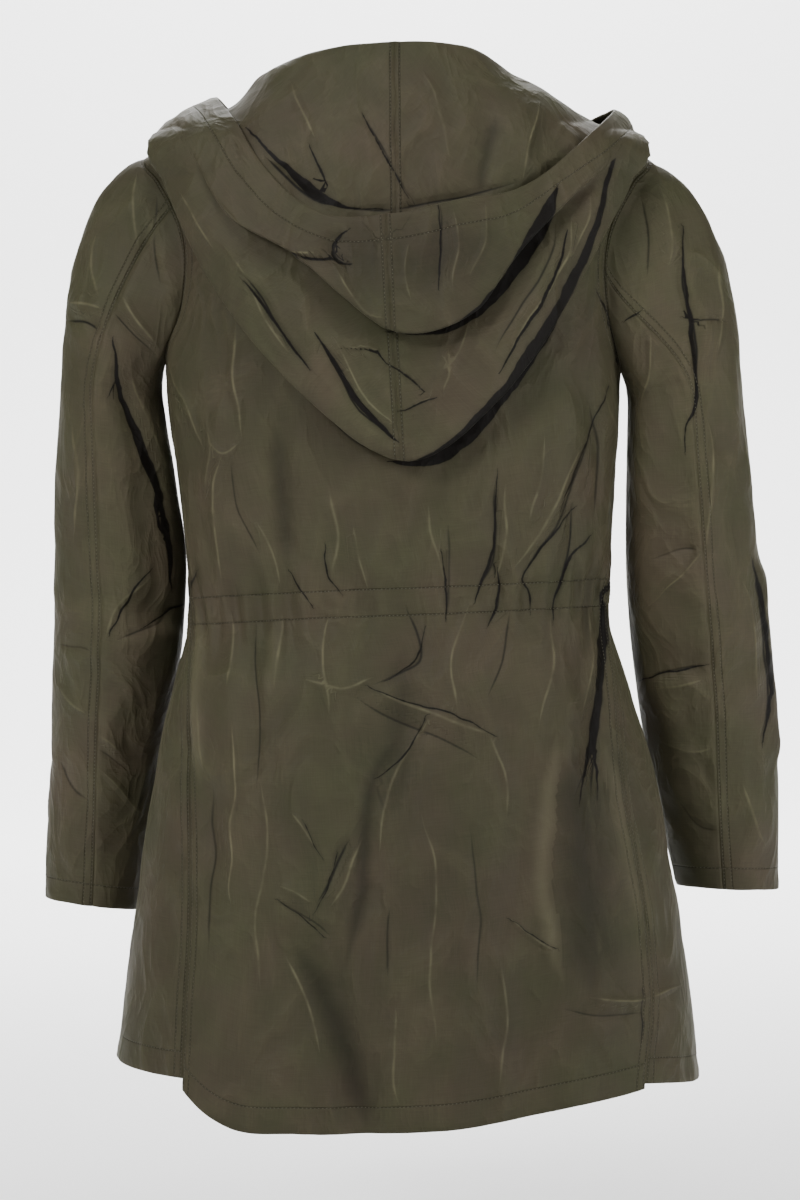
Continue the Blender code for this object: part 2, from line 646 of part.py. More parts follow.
def build_hood(collection):
    """Two halves that meet at the centre seam, from the left front to the right front."""
    skin = body_skin()
    for side in ("left", "right"):
        shares = HOOD_ACROSS if side == "left" else [1 - share for share in reversed(HOOD_ACROSS)]
        points = np.stack([hood_column(share, HOOD_SHARES, skin) for share in shares], 1)
        panel(f"hood_{side}", pull_back(points, HOOD_LEAN), CLOTH, CLOTH_LOOK, collection)


# ---- zip --------------------------------------------------------------------
def strip_points(xs, levels, inset):
    """A narrow strip down the centre front, set in from the body's surface."""
    grid = []
    for level in levels:
        row = []
        for x in xs:
            point = body_surface(angle_at_width(level, x), level)
            row.append(point + np.array([0, inset, 0]))
        grid.append(row)
    return np.array(grid)


def front_frame(level):
    """Centre-front point at a level and the slope of the front there, from upright."""
    here = body_surface(-0.5 * pi, level)
    low = body_surface(-0.5 * pi, level - SLOPE_STEP)
    high = body_surface(-0.5 * pi, level + SLOPE_STEP)
    rise = high - low
    return here, float(np.arctan2(rise[1], rise[2]))


def box(name, size, place, collection):
    """A metal box of a size (x, y, z) about a place, in metres."""
    mesh = bpy.data.meshes.new(name)
    form = bmesh.new()
    bmesh.ops.create_cube(form, size=1.0)
    bmesh.ops.scale(form, vec=size, verts=form.verts[:])
    bmesh.ops.translate(form, vec=place, verts=form.verts[:])
    form.to_mesh(mesh)
    form.free()
    return add_object(name, mesh, METAL_LOOK, collection)


def cut(target, cutter, operation="DIFFERENCE"):
    """Cut a hidden box out of a target, or join it on."""
    cutter.hide_render = True
    cutter.display_type = "WIRE"
    modifier = target.modifiers.new(cutter.name, "BOOLEAN")
    modifier.object = cutter
    modifier.operation = operation


def build_zip(collection, cutters):
    """Two tapes inside the front edges, the closed chain, the slider and its hinged pull."""
    inset = (0.5 * CLOTH + SEAM + 0.5 * TAPE_WALL) / MM + TAPE_ROOM
    for side, sign in (("left", 1), ("right", -1)):
        xs = [sign * x for x in (CHAIN_HALF + SEAM / MM, TAPE_HALF)]
        panel(f"zip_tape_{side}", strip_points(xs, ZIP_LEVELS, inset), TAPE_WALL, TAPE_LOOK, collection)

    place, slope = front_frame(SLIDER_LEVEL)
    chain_top = SLIDER_LEVEL - CHAIN_BELOW_SLIDER
    chain_levels = [chain_top]
    chain_levels += [level for level in ZIP_LEVELS if level < chain_top - CHAIN_FIRST_STEP]
    panel("zip_chain", strip_points((-CHAIN_HALF, CHAIN_HALF), chain_levels, inset), CHAIN_WALL,
          METAL_LOOK, collection)

    frame = bpy.data.objects.new("slider_frame", None)
    frame.location = (place + np.array([0, inset, 0])) * MM
    frame.rotation_euler = (-slope, 0, 0)
    collection.objects.link(frame)
    wide, deep, tall = SLIDER_SIZE
    slider = box("zip_slider", SLIDER_SIZE, (0, 0, 0), collection)
    for sign in (1, -1):
        slot_place = (sign * (POST_HALF + 0.5 * wide), 0, 0)
        side_slot = box(f"tape_slot_{sign}", (wide, TAPE_SLOT, 2 * tall), slot_place, cutters)
        side_slot.parent = frame
        cut(slider, side_slot)
    chain_slot = box("chain_slot", (wide, CHAIN_SLOT, tall), (0, 0, -POST_HEIGHT), cutters)
    chain_slot.parent = frame
    cut(slider, chain_slot)
    face = -0.5 * deep
    for sign in (1, -1):
        leg_place = (0, face - 0.5 * BAIL_RISE + BAIL_SUNK * BAIL_WIRE, sign * 0.5 * BAIL_LENGTH)
        leg = box(f"bail_leg_{sign}", (2 * BAIL_WIRE, BAIL_RISE, BAIL_WIRE), leg_place, cutters)
        leg.parent = frame
        cut(slider, leg, "UNION")
    bridge = box("bail_bridge", (2 * BAIL_WIRE, BAIL_WIRE, BAIL_LENGTH + BAIL_WIRE),
                 (0, face - BAIL_RISE + 0.5 * BAIL_WIRE, 0), cutters)
    bridge.parent = frame
    cut(slider, bridge, "UNION")
    slider.parent = frame

    hinge = bpy.data.objects.new("pull_hinge", None)
    hinge.parent = frame
    hinge.location = (0, face - 0.5 * (BAIL_RISE - BAIL_WIRE), 0)
    collection.objects.link(hinge)
    _, thick, length = PULL_SIZE
    pull = box("zip_pull", PULL_SIZE, (0, 0, 0.5 * PULL_BAR - 0.5 * length), collection)
    eye_place = (0, 0, -0.5 * PULL_BAR - 0.5 * PULL_EYE)
    window = box("pull_window", (PULL_EYE, 2 * thick, PULL_EYE), eye_place, cutters)
    window.parent = hinge
    cut(pull, window)
    pull.parent = hinge


# ---- model ------------------------------------------------------------------
def main():
    """Build every piece into one collection."""
    for obj in list(bpy.data.objects):
        bpy.data.objects.remove(obj)
    collection = bpy.data.collections.new("hooded_jacket")
    bpy.context.scene.collection.children.link(collection)
    build_body(collection)
    build_sleeves(collection)
    build_hood(collection)
    cutters = bpy.data.collections.new("cutters")
    bpy.context.scene.collection.children.link(cutters)
    build_zip(collection, cutters)


main()
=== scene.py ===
"""The hooded zip jacket in its worn form, dressed for the camera.

Every cloth piece follows its solid of the frame: the same tables and forms on a finer
grid, with the folds, creases, seams and stitching that the solids leave out. Lengths in
the tables are millimetres. Lines called creases are placed in the picture of the back, in
pixels of its 800 x 1200 frame, and PICTURE_SCALE turns them into millimetres.
"""
import bpy
import numpy as np
from math import pi, radians
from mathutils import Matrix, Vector
from mathutils.kdtree import KDTree


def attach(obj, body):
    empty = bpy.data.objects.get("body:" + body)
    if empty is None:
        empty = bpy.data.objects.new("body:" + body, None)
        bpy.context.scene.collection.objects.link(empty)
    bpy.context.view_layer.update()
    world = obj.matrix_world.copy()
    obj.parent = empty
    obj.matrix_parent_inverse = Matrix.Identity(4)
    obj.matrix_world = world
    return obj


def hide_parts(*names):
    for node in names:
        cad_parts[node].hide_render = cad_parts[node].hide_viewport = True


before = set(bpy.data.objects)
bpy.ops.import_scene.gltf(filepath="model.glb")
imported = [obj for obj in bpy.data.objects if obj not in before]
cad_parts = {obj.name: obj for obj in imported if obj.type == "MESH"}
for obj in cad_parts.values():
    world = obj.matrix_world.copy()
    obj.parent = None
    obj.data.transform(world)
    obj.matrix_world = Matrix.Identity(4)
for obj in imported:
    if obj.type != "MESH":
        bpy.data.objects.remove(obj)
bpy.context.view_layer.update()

MM = 0.001

# ---- sizes shared with the solids -------------------------------------------
SEAM = 0.3
SHOULDER_TIP = -46.0
ARMPIT = {"left": -200.0, "right": -206.0}
ARMHOLE_BACK = 46.0
ARMHOLE_FRONT = 50.0
WAIST_LEFT = -394.0
WAIST_RIGHT = -379.0
CASING_WIDTH = 20.0
SECTION_POWER = 2.4
GATHER_HEIGHT = 2.4
GATHER_REACH = 26.0
GATHERS_BACK = 16
GATHERS_FRONT = 7
GATHER_FADE = 0.8
ZIP_HALF = 5.0
SLEEVE_CAP_END = -236.0
ARMHOLE_LIFT = 0.4
NECK_LIFT = 1.9
HOOD_ON_BODY = 7.0
HOOD_LAYERS = 7.0
HOOD_LIFT_LIMIT = 22.0

BODY = ("z", "left", "right", "back", "front", "seam_l", "seam_r", "drop")
BODY_ROWS = (
    (0, 74, 74, 62, 90, 0, 0, 60),
    (-10, 102, 102, 71, 94, 0, 0, 56),
    (-22, 135, 135, 79, 98, 0, 0, 51),
    (-34, 166, 166, 86, 101, 0, 0, 46),
    (-46, 191, 192, 89, 103, 1, 1, 40),
    (-66, 187, 187, 92, 105, 2, 2, 30),
    (-100, 179, 178, 95, 109, 4, 4, 18),
    (-150, 176, 174, 97, 113, 6, 6, 6),
    (-206, 176, 172, 98, 115, 8, 8, 0),
    (-272, 169, 169, 97, 112, 10, 10, 0),
    (-349, 160, 165, 92, 107, 16, 16, 0),
    (-388, 157, 163, 90, 105, 22, 20, 0),
    (-461, 173, 182, 103, 110, 55, 52, 0),
    (-516, 184, 197, 109, 113, 68, 66, 0),
    (-573, 193, 207, 115, 117, 80, 69, 0),
    (-627, 200, 217, 118, 120, 86, 71, 0),
    (-685, 208, 226, 121, 123, 90, 76, 0),
    (-750, 217, 232, 123, 126, 94, 85, 0),
    (-790, 222, 235, 124, 127, 96, 87, 0),
)
BACK_HEM = ((0, -750), (0.06, -764), (0.14, -776), (0.30, -779), (0.42, -779),
            (0.55, -775), (0.66, -769), (0.78, -761), (0.88, -756), (1, -750))
FRONT_HEM = {"left": ((0, -741), (0.35, -734), (1, -742)),
             "right": ((0, -746), (0.35, -752), (1, -746))}

FOLD = ("side", "x0", "z0", "x1", "z1", "half", "height")
FOLD_ROWS = (
    ("back", 129, -250, 131, -372, 13, 4.0),
    ("back", 92, -240, 82, -365, 14, -3.5),
    ("back", 168, -190, 150, -380, 12, 3.5),
    ("back", -80, -290, -66, -372, 13, -3.5),
    ("back", -128, -240, -112, -365, 13, 3.5),
    ("back", 10, -290, -6, -372, 16, 3.0),
    ("back", 124, -440, 122, -640, 14, 5.0),
    ("back", 150, -500, 96, -720, 16, -4.0),
    ("back", 76, -640, 24, -790, 18, -8.0),
    ("back", -16, -470, 40, -670, 16, -5.0),
    ("back", 62, -420, 66, -560, 16, 4.0),
    ("back", -50, -560, -40, -790, 20, 5.0),
    ("back", -152, -375, -142, -500, 11, -7.0),
    ("back", -132, -470, -152, -700, 20, 6.0),
    ("back", -96, -520, -98, -780, 17, -5.0),
    ("front", 120, -430, 136, -740, 20, 6.0),
    ("front", 74, -420, 78, -740, 20, -6.0),
    ("front", 36, -450, 40, -740, 16, 4.0),
    ("front", -124, -430, -140, -740, 20, 6.0),
    ("front", -80, -420, -84, -740, 20, -6.0),
    ("front", -38, -450, -42, -740, 16, 4.0),
    ("front", 118, -190, 96, -360, 16, -4.0),
    ("front", -118, -190, -96, -360, 16, -4.0),
    ("front", 62, -240, 56, -365, 15, 3.0),
    ("front", -62, -240, -56, -365, 15, 3.0),
)

SLEEVE = ("z", "outer", "inner", "y", "depth", "tilt")
SLEEVE_ROWS = {
    "left": (
        (-236, 259, 180, -4, 50, 0),
        (-300, 263, 170, -9, 50, 0),
        (-360, 265, 164, -16, 50, 0),
        (-420, 265, 167, -27, 49, 0),
        (-480, 269, 179, -48, 45, 2),
        (-540, 273, 189, -64, 43, 5),
        (-618, 277, 202, -80, 39, 10),
    ),
    "right": (
        (-236, 268, 179, -4, 50, 0),
        (-300, 273, 178, -9, 50, 0),
        (-360, 279, 178, -16, 50, 0),
        (-420, 288, 183, -27, 49, 0),
        (-480, 297, 192, -48, 45, 0),
        (-540, 300, 205, -64, 43, 0),
        (-612, 302, 222, -80, 39, -3),
    ),
}
SEAM_PLACES = (0.0, 0.30, 0.60, 1.0)
BACK_SEAM = {"left": (62, 74, 78, 94), "right": (98, 88, 84, 100)}
FRONT_SEAM = (228, 236, 240, 240)

SLEEVE_FOLD = ("side", "a0", "z0", "a1", "z1", "half", "height")
SLEEVE_FOLD_ROWS = (
    ("left", 118, -190, 128, -390, 16, -6.0),
    ("left", 70, -385, 150, -400, 14, -4.0),
    ("left", 60, -425, 150, -410, 12, 3.5),
    ("left", 95, -470, 95, -560, 12, 3.0),
    ("left", 20, -160, 70, -180, 10, -4.0),
    ("right", 58, -120, 66, -270, 13, -5.0),
    ("right", 128, -160, 136, -300, 14, 4.0),
    ("right", 60, -240, 92, -380, 12, 4.0),
    ("right", 60, -440, 140, -430, 14, -4.0),
    ("right", 10, -370, 26, -500, 12, 3.5),
    ("left", 250, -250, 262, -420, 16, -4.0),
    ("right", 250, -250, 262, -420, 16, -4.0),
)

HOOD_STATIONS = (0, 0.10, 0.20, 0.25, 0.30, 0.40, 0.50, 0.60, 0.70, 0.75, 0.80, 0.90, 1)
HOOD_NECK_ANGLES = (-84, -45, -5, 14, 32, 62, 90, 118, 148, 166, 185, 225, 264)
HOOD_ROWS = (
    ("crown fold", ((10, -94, -50), (62, -72, -16), (106, 0, 6), (105, 22, 13), (96, 40, 17), (62, 63, 26),
                    (1, 74, 31), (-56, 64, 29), (-88, 40, 14), (-99, 22, 10), (-104, 2, 4), (-62, -72, -16),
                    (-10, -94, -50))),
    ("inner layer", ((13, -98, -52), (80, -82, -27), (130, 3, -9), (122, 48, -13), (108, 79, -26),
                     (66, 101, -70), (0, 106, -92), (-60, 102, -74), (-106, 82, -28), (-124, 50, -10),
                     (-130, 3, -9), (-80, -82, -27), (-13, -98, -52))),
    ("pouch bottom", ((17, -101, -60), (112, -92, -52), (178, 3, -27), (180, 42, -44), (160, 72, -98),
                      (96, 104, -200), (-3, 114, -275), (-78, 109, -228), (-138, 84, -138),
                      (-174, 56, -66), (-180, 3, -31), (-112, -92, -52), (-17, -101, -60))),
    ("outer layer", ((18, -104, -58), (111, -97, -48), (176, 6, -18), (175, 49, -36), (150, 88, -92),
                     (90, 118, -166), (0, 126, -232), (-72, 122, -196), (-126, 100, -126),
                     (-172, 66, -60), (-182, 9, -23), (-111, -97, -48), (-18, -104, -58))),
    ("tuck", ((17, -106, -55), (106, -99, -41), (168, 6, -13), (165, 55, -30), (135, 92, -80),
              (72, 116, -124), (4, 122, -168), (-56, 119, -158), (-103, 102, -106), (-164, 71, -54),
              (-180, 12, -18), (-106, -99, -42), (-17, -106, -55))),
    ("flap fold", ((16, -108, -52), (100, -99, -36), (160, 8, -8), (156, 63, -28), (132, 103, -84),
                   (71, 132, -132), (4, 140, -184), (-55, 138, -172), (-100, 119, -117),
                   (-158, 78, -50), (-176, 15, -14), (-102, -99, -38), (-16, -108, -52))),
    ("brim", ((15, -108, -48), (92, -96, -30), (138, 9, 0), (126, 66, -18), (102, 96, -58),
              (58, 119, -98), (8, 127, -101), (-45, 125, -90), (-108, 102, -70), (-150, 74, -32),
              (-168, 16, -9), (-96, -96, -33), (-15, -108, -48))),
)
HOOD_ACROSS = (0, 0.055, 0.10, 0.14, 0.172, 0.20, 0.222, 0.24, 0.254, 0.267, 0.28, 0.296, 0.32, 0.355,
               0.395, 0.44, 0.5)
HOOD_SHARES = (0.0, 0.5, 0.9, 1.1, 1.4, 1.75, 2.1, 2.4, 2.7, 2.9, 3.1, 3.5, 4.0, 4.6, 5.0, 5.4,
               5.8, 6.1, 6.5, 7.0)
SKIN_COLUMNS = 180
SKIN_ROWS = 90
SKIN_DEPTH = -300.0

ZIP_TOP_LEVEL = -3.0
ZIP_BOTTOM = -736.0
TAPE_HALF = 13.0
CHAIN_HALF = 2.8

# ---- sizes of the scene's own detail ----------------------------------------
WALL = 0.6                      # cloth shell
GRID = 2.6                      # spacing of the cloth grids
HEM_DEPTH = 20.0                # cloth turned up inside hems, cuffs and the brim
HEM_GAP = 1.5                   # between the two layers of a hem
STITCH_PITCH = 3.0
STITCH_LENGTH = 2.3
STITCH_WIDTH = 0.70
STITCH_RISE = 0.30
DOUBLE_ROWS = (1.8, 7.5)        # distances of the two stitch rows from a seam
HEM_ROW = 18.5                  # distance of the stitch row from a hem's edge
CUFF_ROW = 17.0
ARMHOLE_ROW = 2.0
HOOD_SEAM_ROW = 3.4
TOUCH = 1.8                     # how far the left sleeve's cloth rests over towards the body
TOUCH_LEVEL = -330.0
TOUCH_REACH = 60.0
ZIP_INSET = 1.9                 # the zip lies this far behind the fronts
ZIP_CALM = 14.0                 # the fronts lie flat this far from the zip
CHAIN_TOP = -26.5
TOOTH_PITCH = 2.3
TOOTH_DEPTH = 1.0               # half of it
TOOTH = ((2.9, 0.55), (1.3, 0.36), (0.2, 0.52), (-0.8, 0.28), (-0.8, -0.28), (0.2, -0.52),
         (1.3, -0.36), (2.9, -0.55))
PUCKER = 0.55
PUCKER_SIZE = 7.0
PUCKER_REACH = 11.0
SEAM_RIDGE = 0.25
CREASE_FLANK = 2.3
CREASE_POWER = 1.4              # near 1 for flat flanks that meet in a sharp line
MARK_HALF = 4.0                 # half width of the crease whose drawn line is at its plain width
WIDE = 7.0                      # half width from which a crease is a fold with a broad shadow
THIN_END = 0.10                 # share of its width that a line has left at its ends
SHADOW_WANDER = 0.35            # share of the creases' sideways shifts that black shadows take
SHADOW_SHAKE = 1.5              # further small shifts of their own, in pixels
SHADOW_FADE = 9.0               # how fast a shadow's half width drops away from it
FAR = 99.0                      # distance noted where no crease or stitch row is near
# Gain and share of the creases' bend in the colour: paler on ridges as wear and a painted highlight, darker in folds as
# painted shade.
WEAR_AND_LIGHT_GAIN = 7.0
WEAR_AND_LIGHT_SHARE = 0.10

# ---- the picture's frame ----------------------------------------------------
PICTURE_SCALE = 0.77            # mm a pixel at the body's axis
PICTURE_CENTRE = (396.0, 600.0)
CAMERA_AWAY = 3000.0
CAMERA_LEVEL = -385.0
CAMERA_SIDE = -3.0
HALF_FRAME = 462.0              # half of the frame's height at the body's axis

# Creases: the cloth they lie in, half width and height in mm, and the line's points in
# the picture. A negative height is a trough.
# Each crease is also painted into the colour: a highlight line along a ridge, a shade line along a trough, and soft
# painted shade or light beside the wide ones.
CREASE_ROWS = (
    # back above the waist
    ("back", 5, 1.8, ((237, 313), (235, 385), (245, 441))),
    ("back", 5, 2.0, ((163, 353), (177, 453), (190, 553), (193, 597))),
    ("back", 4, 1.5, ((165, 350), (185, 405), (205, 455))),
    ("back", 4, 1.5, ((205, 440), (225, 452), (243, 441))),
    ("back", 4, 1.7, ((225, 450), (214, 500), (218, 560), (222, 590))),
    ("back", 4, -1.4, ((232, 455), (238, 510), (262, 560))),
    ("back", 4, 1.2, ((200, 420), (212, 450), (206, 500))),
    ("back", 10, -2.0, ((272, 420), (282, 500), (287, 573))),
    ("back", 4, 1.2, ((255, 520), (275, 560), (281, 590))),
    ("back", 6, -1.8, ((594, 429), (575, 480), (557, 521), (520, 576))),
    ("back", 5, 1.6, ((585, 440), (560, 492), (534, 540), (508, 575))),
    ("back", 5, -2.2, ((573, 503), (566, 567), (551, 601))),
    ("back", 5, -1.8, ((496, 475), (494, 549), (474, 601))),
    ("back", 5, 1.6, ((506, 480), (505, 540), (490, 590))),
    ("back", 4, -1.8, ((497, 570), (499, 604), (490, 625))),
    ("back", 5, 1.3, ((425, 500), (436, 548), (446, 590))),
    ("back", 5, -1.2, ((448, 520), (450, 560), (447, 619))),
    ("back", 6, 1.2, ((330, 480), (338, 540), (330, 590))),
    ("back", 4, 1.2, ((352, 520), (360, 560), (372, 594))),
    ("back", 5, 1.5, ((600, 380), (612, 430), (608, 500), (600, 570))),
    ("back", 5, -1.6, ((588, 400), (598, 450), (592, 520))),
    ("back", 5, 1.3, ((545, 430), (540, 480), (526, 530))),
    ("back", 4, -1.6, ((318, 397), (342, 430), (368, 448), (394, 456))),
    # skirt
    ("skirt", 5, -1.8, ((401, 601), (415, 632), (416, 662), (370, 687))),
    ("skirt", 5, 1.6, ((281, 610), (281, 632), (275, 690))),
    ("skirt", 4, 1.5, ((232, 608), (232, 640), (226, 690))),
    ("skirt", 6, -2.6, ((600, 593), (605, 619), (600, 696), (591, 751), (575, 800))),
    ("skirt", 5, -2.0, ((600, 696), (596, 751), (592, 800))),
    ("skirt", 4, 1.6, ((589, 600), (592, 650), (584, 720))),
    ("skirt", 3.2, 2.2, ((233, 715), (234, 800), (233, 860), (232, 917))),
    ("skirt", 4, 1.4, ((200, 700), (204, 740), (208, 773))),
    ("skirt", 4, 1.3, ((276, 885), (295, 890), (311, 902))),
    ("skirt", 4, -1.3, ((273, 899), (305, 916), (332, 940))),
    ("skirt", 12, -2.4, ((288, 935), (312, 978), (338, 1035), (356, 1090), (366, 1136))),
    ("skirt", 5, 1.8, ((282, 950), (306, 1000), (322, 1060))),
    ("skirt", 6, -2.0, ((352, 838), (335, 870), (314, 905))),
    ("skirt", 5, 1.6, ((366, 836), (346, 878), (326, 912))),
    ("skirt", 8, -2.4, ((417, 718), (373, 779), (364, 876), (343, 979))),
    ("skirt", 5, 1.6, ((432, 712), (392, 780), (380, 860))),
    ("skirt", 5, -1.3, ((390, 905), (388, 940), (389, 979))),
    ("skirt", 4, 1.2, ((291, 811), (305, 830), (317, 852))),
    ("skirt", 6, 1.7, ((370, 687), (410, 706), (455, 722), (500, 740))),
    ("skirt", 5, -1.5, ((352, 694), (396, 722), (440, 738), (486, 762))),
    ("skirt", 5, 1.4, ((300, 676), (340, 690), (378, 676))),
    ("skirt", 5, 1.4, ((480, 724), (505, 770), (508, 820))),
    ("skirt", 9, 2.2, ((558, 729), (544, 864), (552, 935), (564, 993))),
    ("skirt", 9, 2.0, ((605, 738), (635, 864), (649, 949))),
    ("skirt", 8, -2.0, ((590, 800), (596, 880), (604, 960))),
    ("skirt", 4, 1.6, ((506, 917), (530, 936), (558, 952))),
    ("skirt", 4, 1.5, ((585, 998), (620, 1000), (649, 999), (684, 984))),
    ("skirt", 4, -1.3, ((560, 1010), (600, 1016), (650, 1012))),
    ("skirt", 5, 1.5, ((470, 600), (452, 660), (458, 720))),
    ("skirt", 5, -1.5, ((512, 605), (505, 650), (486, 700))),
    ("skirt", 5, 1.5, ((550, 612), (552, 670), (536, 730))),
    ("skirt", 5, 1.6, ((330, 610), (322, 660), (330, 720))),
    ("skirt", 4, -1.5, ((256, 610), (254, 660), (262, 730), (256, 800))),
    ("skirt", 8, 2.4, ((193, 600), (198, 640), (196, 700), (204, 790))),
    ("skirt", 7, 1.6, ((272, 620), (274, 660), (270, 700))),
    ("skirt", 24, -2.5, ((578, 735), (584, 860), (598, 1010))),
    ("skirt", 14, -1.5, ((404, 640), (400, 720), (392, 820))),
    ("skirt", 5, 1.4, ((260, 770), (268, 840), (256, 920), (262, 1000))),
    ("skirt", 5, -1.5, ((214, 780), (214, 860), (206, 960))),
    ("skirt", 5, 1.2, ((420, 800), (436, 880), (430, 960), (440, 1060))),
    ("skirt", 5, -1.2, ((470, 820), (480, 900), (476, 1000))),
    ("skirt", 5, 1.2, ((500, 960), (506, 1030), (500, 1090))),
    ("skirt", 5, 1.3, ((395, 1000), (392, 1060), (398, 1110))),
    # left sleeve
    ("sleeve_left", 5, 2.0, ((117, 287), (138, 318), (159, 348))),
    ("sleeve_left", 4, -1.6, ((110, 308), (134, 334), (157, 355))),
    ("sleeve_left", 6, -2.4, ((113, 347), (118, 383), (140, 440), (163, 497), (168, 587))),
    ("sleeve_left", 5, 1.8, ((128, 350), (134, 384), (156, 440), (176, 500))),
    ("sleeve_left", 5, 1.8, ((151, 575), (119, 604), (103, 644))),
    ("sleeve_left", 5, -2.0, ((188, 602), (168, 607), (156, 625), (114, 641))),
    ("sleeve_left", 5, 1.5, ((151, 666), (152, 708), (143, 740))),
    ("sleeve_left", 4, 1.8, ((92, 733), (108, 740), (124, 752))),
    ("sleeve_left", 4, 1.8, ((99, 767), (124, 796), (151, 821))),
    ("sleeve_left", 4, -1.4, ((92, 746), (112, 756), (130, 772))),
    ("sleeve_left", 4, -1.0, ((56, 646), (74, 648), (92, 654))),
    ("sleeve_left", 5, -2.2, ((66, 318), (82, 320), (98, 330))),
    ("sleeve_left", 5, 1.6, ((70, 300), (84, 302), (104, 310))),
    ("sleeve_left", 5, 1.4, ((96, 230), (92, 262), (100, 300))),
    ("sleeve_left", 5, 1.4, ((140, 170), (134, 214), (142, 262))),
    ("sleeve_left", 5, -1.4, ((158, 190), (154, 240), (160, 290))),
    ("sleeve_left", 5, 1.4, ((72, 420), (80, 480), (72, 540))),
    ("sleeve_left", 5, 1.4, ((60, 680), (72, 700), (86, 712))),
    ("sleeve_left", 5, -1.4, ((58, 760), (72, 790), (88, 800))),
    # right sleeve
    ("sleeve_right", 5, -2.6, ((683, 225), (685, 290), (692, 320), (698, 370), (697, 410), (686, 425))),
    ("sleeve_right", 4, -1.6, ((692, 320), (710, 318), (728, 320))),
    ("sleeve_right", 4, 2.0, ((641, 317), (650, 335), (648, 370), (640, 420), (632, 440))),
    ("sleeve_right", 4, 2.0, ((705, 410), (712, 440), (712, 480), (707, 540), (700, 555), (670, 585), (640, 610))),
    ("sleeve_right", 5, -2.0, ((647, 678), (676, 670), (706, 665))),
    ("sleeve_right", 5, 1.6, ((650, 690), (680, 686), (704, 680))),
    ("sleeve_right", 5, -2.2, ((752, 570), (762, 636), (770, 700), (758, 745))),
    ("sleeve_right", 4, 1.8, ((742, 580), (752, 640), (756, 700))),
    ("sleeve_right", 5, 1.4, ((716, 250), (722, 300), (716, 360))),
    ("sleeve_right", 5, 1.4, ((660, 180), (672, 230), (668, 270))),
    ("sleeve_right", 5, -1.4, ((640, 190), (650, 236), (646, 280))),
    ("sleeve_right", 4, -1.4, ((650, 560), (680, 548), (704, 552))),
    ("sleeve_right", 5, 1.4, ((660, 740), (690, 752), (716, 746))),
    ("sleeve_right", 5, 1.3, ((742, 780), (752, 820), (764, 850))),
    ("sleeve_right", 5, -1.4, ((676, 800), (700, 826), (726, 830))),
    # hood, inside above the brim
    ("inside", 6, -2.4, ((262, 154), (286, 176), (308, 195), (334, 208))),
    ("inside", 5, -1.8, ((334, 209), (388, 208), (446, 198), (526, 181))),
    ("inside", 4, 1.6, ((539, 100), (534, 120), (529, 138), (519, 187))),
    ("inside", 5, -1.8, ((362, 112), (385, 154), (411, 200))),
    ("inside", 7, -2.0, ((496, 115), (488, 150), (480, 193))),
    ("inside", 5, 1.5, ((290, 80), (300, 110), (318, 140))),
    ("inside", 5, 1.3, ((420, 70), (440, 110), (450, 160))),
    ("inside", 5, 1.3, ((560, 120), (566, 140), (560, 160))),
    # hood, the pouch below the flap
    ("pouch", 5, 2.0, ((571, 213), (565, 259), (535, 311), (506, 363))),
    ("pouch", 5, -1.6, ((556, 220), (548, 262), (520, 312), (492, 356))),
    ("pouch", 4, -2.4, ((240, 272), (258, 292), (276, 324), (313, 373))),
    ("pouch", 4, 1.5, ((222, 240), (248, 280), (264, 318), (300, 366))),
    ("pouch", 5, -2.4, ((318, 335), (339, 376), (362, 412), (398, 443))),
    ("pouch", 4, 1.8, ((330, 330), (350, 368), (372, 402), (402, 430))),
    ("pouch", 3.5, 1.8, ((346, 350), (364, 348), (379, 352), (382, 362))),
    ("pouch", 3.5, -1.5, ((385, 363), (408, 376), (426, 393))),
    ("pouch", 4, 1.5, ((403, 411), (420, 402), (436, 396))),
    ("pouch", 4, 1.4, ((440, 350), (450, 372), (440, 398))),
    ("pouch", 4, 1.6, ((470, 320), (460, 350), (440, 376))),
    ("pouch", 4, 1.4, ((180, 190), (196, 222), (214, 250))),
    ("pouch", 4, 1.4, ((590, 190), (584, 226), (566, 262))),
    # hood, the flap behind the brim
    ("flap", 4, -2.4, ((346, 231), (337, 240), (333, 252), (342, 262), (352, 262))),
    ("flap", 4, -2.2, ((282, 250), (310, 258), (330, 257), (340, 247))),
    ("flap", 4, 2.0, ((240, 234), (268, 248), (298, 251), (328, 254))),
    ("flap", 4, -1.6, ((439, 203), (442, 250), (439, 291))),
    ("flap", 4, 1.6, ((330, 260), (346, 288), (366, 314), (392, 321))),
    ("flap", 4, -1.4, ((212, 193), (248, 239), (290, 255), (328, 260))),
    ("flap", 4, 1.5, ((452, 206), (458, 250), (452, 296))),
    ("flap", 4, 1.3, ((486, 200), (484, 240), (470, 282))),
    ("flap", 4, 1.3, ((410, 240), (404, 270), (412, 306))),
    ("flap", 30, -1.4, ((310, 236), (400, 262), (500, 232))),
)

